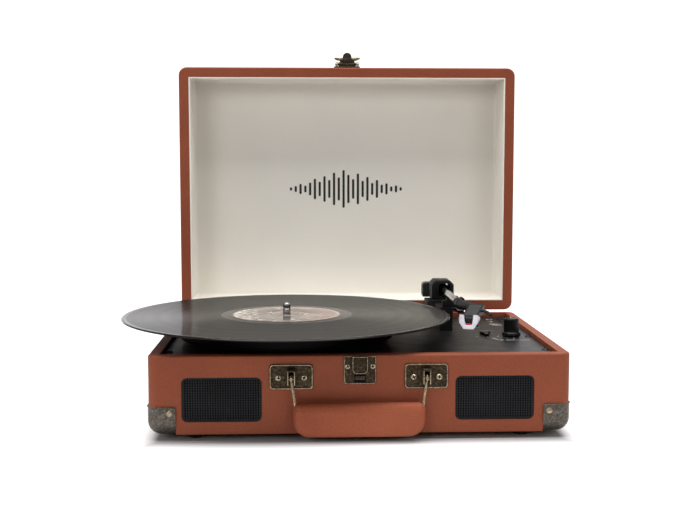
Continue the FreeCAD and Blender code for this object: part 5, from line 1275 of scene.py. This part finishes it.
CL = Matrix.Translation((107.6, 31.0, 97.9)) @ Matrix.Rotation(math.radians(176), 4, "Y")
bm = bmesh.new()
loop = smooth_path([(0, 1.5, 1.2), (0.1, 1.5, 4.0), (-0.3, 1.5, 7.0), (-2.2, 1.5, 8.3), (-6.0, 1.5, 8.5), (-10.5, 1.5, 8.4), (-14.6, 1.5, 8.4)], 6)
add_tube(bm, [CL @ p for p in loop], 1.35, 12, flat=(1.0, 0.62))
hub = bmesh.new()
add_lathe(hub, [(1.06, 0.05), (2.1, 0.05), (2.4, 0.35), (2.4, 2.65), (2.1, 2.95), (1.06, 2.95)], seg=28, closed=True)
merge(bm, hub, CL @ AT(0, 0, 0, "y"))
hub.free()
piece("arm_clip_hook", bm, BLACK2, "clip", 45, ["arm_clip"])

bm = bmesh.new()
add_lathe(bm, [(0, -7.6), (1.5, -7.6), (1.5, 0.0), (2.8, 0.0), (3.0, 0.3), (3.0, 2.7), (2.7, 3.0), (0, 3.0)], AT(105.6, 66.0, 84.0, "x"), seg=32)
sidep = [(66.0, 82.4), (66.0, 85.6), (58.0, 85.5), (46.0, 85.3), (42.0, 85.6), (40.0, 86.4), (39.2, 85.6), (40.0, 83.6), (44.0, 82.7)]
add_prism(bm, sidep, "x", 105.7, 108.4, r=0.4, seg=2)
add_prism(bm, rrect(42.0, 84.6, 4.0, 3.2, 1.0, 4), "x", 105.8, 111.8, r=0.5, seg=3)
piece("cue_handle", bm, BLACK, "cue", 35, ["cue_lever"])

# ------------------------------------------------------------------ connectors on the back
bm = bmesh.new()
plate = bmesh.new()
add_prism(plate, rrect(65.0, 34.5, 74.0, 27.0, 2.5, 6), "y", 129.0, 130.8, r=0.45, seg=2)
cut = bmesh.new()
for x in (46.0, 62.0):
    add_lathe(cut, [(0, 125), (4.2, 125), (4.2, 135), (0, 135)], AT(x, 0, 35.0, "y"), seg=40)
add_lathe(cut, [(0, 125), (5.55, 125), (5.55, 135), (0, 135)], AT(85.0, 0, 35.0, "y"), seg=40)
bm = boolean(plate, cut)
for x, z in ((32.0, 25.0), (98.0, 25.0), (32.0, 44.0), (98.0, 44.0)):
    add_screw(bm, x, 130.7, z, "y", s=0.55, spin=25)
piece("rear_panel", bm, BLACK2, "root", 35, ["rear_jack_plate"])
bm = bmesh.new()
for k, x in enumerate((46.0, 62.0)):
    add_lathe(bm, [(1.7, 139.0), (2.4, 139.0), (2.4, 138.2), (3.9, 138.2), (4.15, 137.9), (4.15, 131.6), (4.15, 119.0), (1.7, 119.0)], AT(x, 0, 35.0, "y"), seg=40, closed=True, mi=0)
    # near-black disc inside the centre hole: painted shade
    add_lathe(bm, [(0, 131.0), (1.7, 131.0), (1.7, 131.4), (0, 131.4)], AT(x, 0, 35.0, "y"), seg=20, mi=3)
    add_lathe(bm, [(4.17, 130.75), (5.4, 130.75), (5.4, 131.2), (5.1, 131.5), (4.17, 131.5)], AT(x, 0, 35.0, "y"), seg=40, closed=True, mi=1 + k)
piece("phono_sockets", bm, [ZINC, WHITEP, RED, SHADE_BLACK], "root", 35, ["rca_sockets"])
bm = bmesh.new()
add_lathe(bm, [(2.9, 131.0), (4.9, 131.2), (5.4, 131.0), (5.5, 130.6), (5.5, 116.0), (0, 116.0), (0, 120.2), (2.9, 120.2)], AT(85.0, 0, 35.0, "y"), seg=40)
add_lathe(bm, [(0, 120.0), (1.0, 120.0), (1.0, 129.6), (0.6, 130.2), (0, 130.3)], AT(85.0, 0, 35.0, "y"), seg=20, mi=1)
piece("power_socket", bm, [BLACK, STEEL], "root", 35, ["dc_socket"])

# ------------------------------------------------------------------ floor, light and camera
fm, ft, fb = nmat("studio_floor_glow")
fb.inputs["Base Color"].default_value = (0.42, 0.40, 0.405, 1)
fb.inputs["Roughness"].default_value = 0.7
fb.inputs["Specular IOR Level"].default_value = 0.2
fb.inputs["Emission Color"].default_value = (1.0, 1.0, 1.0, 1)
# the floor glows from just outside the case outwards: painted light that clears the soft shadow round the case, keeps
# only the contact shadow, and lights the case a little from below
_s = nd(ft, "ShaderNodeSeparateXYZ")
ft.links.new(coords(ft), _s.inputs[0])
_far = mapr(ft, _s.outputs["Y"], 0.25, 1.2, 0.0, 0.85)
_side = mapr(ft, math_n(ft, "ABSOLUTE", _s.outputs["X"]), 0.34, 1.1, 0.0, 0.7)
_near = math_n(ft, "MAXIMUM", mapr(ft, math_n(ft, "ABSOLUTE", _s.outputs["X"]), 0.170, 0.186, 0.0, 0.82), mapr(ft, math_n(ft, "ABSOLUTE", _s.outputs["Y"]), 0.133, 0.155, 0.0, 0.82))
ft.links.new(math_n(ft, "MAXIMUM", _near, math_n(ft, "MAXIMUM", _far, _side)), fb.inputs["Emission Strength"])
me = bpy.data.meshes.new("studio_floor")
bm = bmesh.new()
rows = []
prof = [(-0.50, 0.0), (1.2, 0.0)]
for k in range(1, 13):
    a = math.radians(90.0 * k / 12)
    prof.append((1.2 + 0.8 * math.sin(a), 0.8 - 0.8 * math.cos(a)))
prof.append((2.0, 2.6))
for y, z in prof:
    rows.append([bm.verts.new((x, y, z)) for x in (-1.3, 1.3)])
for a, b2 in zip(rows, rows[1:]):
    bm.faces.new((a[0], a[1], b2[1], b2[0]))
bm.to_mesh(me)
bm.free()
for p in me.polygons:
    p.use_smooth = True
me.materials.append(fm)
floor = bpy.data.objects.new("studio_floor", me)
scene.collection.objects.link(floor)


def area(name, loc, target, size, power, color=(1, 1, 1)):
    L = bpy.data.lights.new(name, "AREA")
    L.shape = "RECTANGLE"
    L.size, L.size_y = size
    L.energy = power
    L.color = color
    ob = bpy.data.objects.new(name, L)
    ob.location = loc
    ob.rotation_euler = (Vector(target) - Vector(loc)).to_track_quat("-Z", "Y").to_euler()
    scene.collection.objects.link(ob)
    return ob


area("top_soft", (0.0, -0.20, 1.9), (0.0, -0.05, 0.05), (2.2, 1.2), 58.0)
area("front_left", (-1.15, -2.1, 0.95), (0.0, 0.0, 0.18), (0.9, 0.7), 10.8)
area("front_right", (1.15, -2.1, 0.95), (0.0, 0.0, 0.18), (0.9, 0.7), 6.6)
area("left_soft", (-1.7, -0.5, 1.0), (0.0, 0.0, 0.18), (0.9, 1.1), 6.0)
area("right_soft", (1.7, -0.5, 1.0), (0.0, 0.0, 0.18), (0.9, 1.1), 5.0)

w = bpy.data.worlds.new("studio")
scene.world = w
w.use_nodes = True
w.node_tree.nodes["Background"].inputs["Color"].default_value = (1.0, 1.0, 1.0, 1)
# the surroundings look white and give only a little light
lp = w.node_tree.nodes.new("ShaderNodeLightPath")
w.node_tree.links.new(mapr(w.node_tree, lp.outputs["Is Camera Ray"], 0.0, 1.0, 0.07, 1.05), w.node_tree.nodes["Background"].inputs["Strength"])
scene.view_settings.view_transform = "Standard"

cam = bpy.data.cameras.new("view")
cam.lens = 55.79
cam.sensor_width = 36.0
cam.clip_end = 50.0
co = bpy.data.objects.new("view", cam)
co.location = (-0.0474, -1.01478, 0.23009)
co.rotation_euler = Vector((0.04082, 0.99513, -0.08975)).to_track_quat("-Z", "Y").to_euler()
scene.collection.objects.link(co)
scene.camera = co
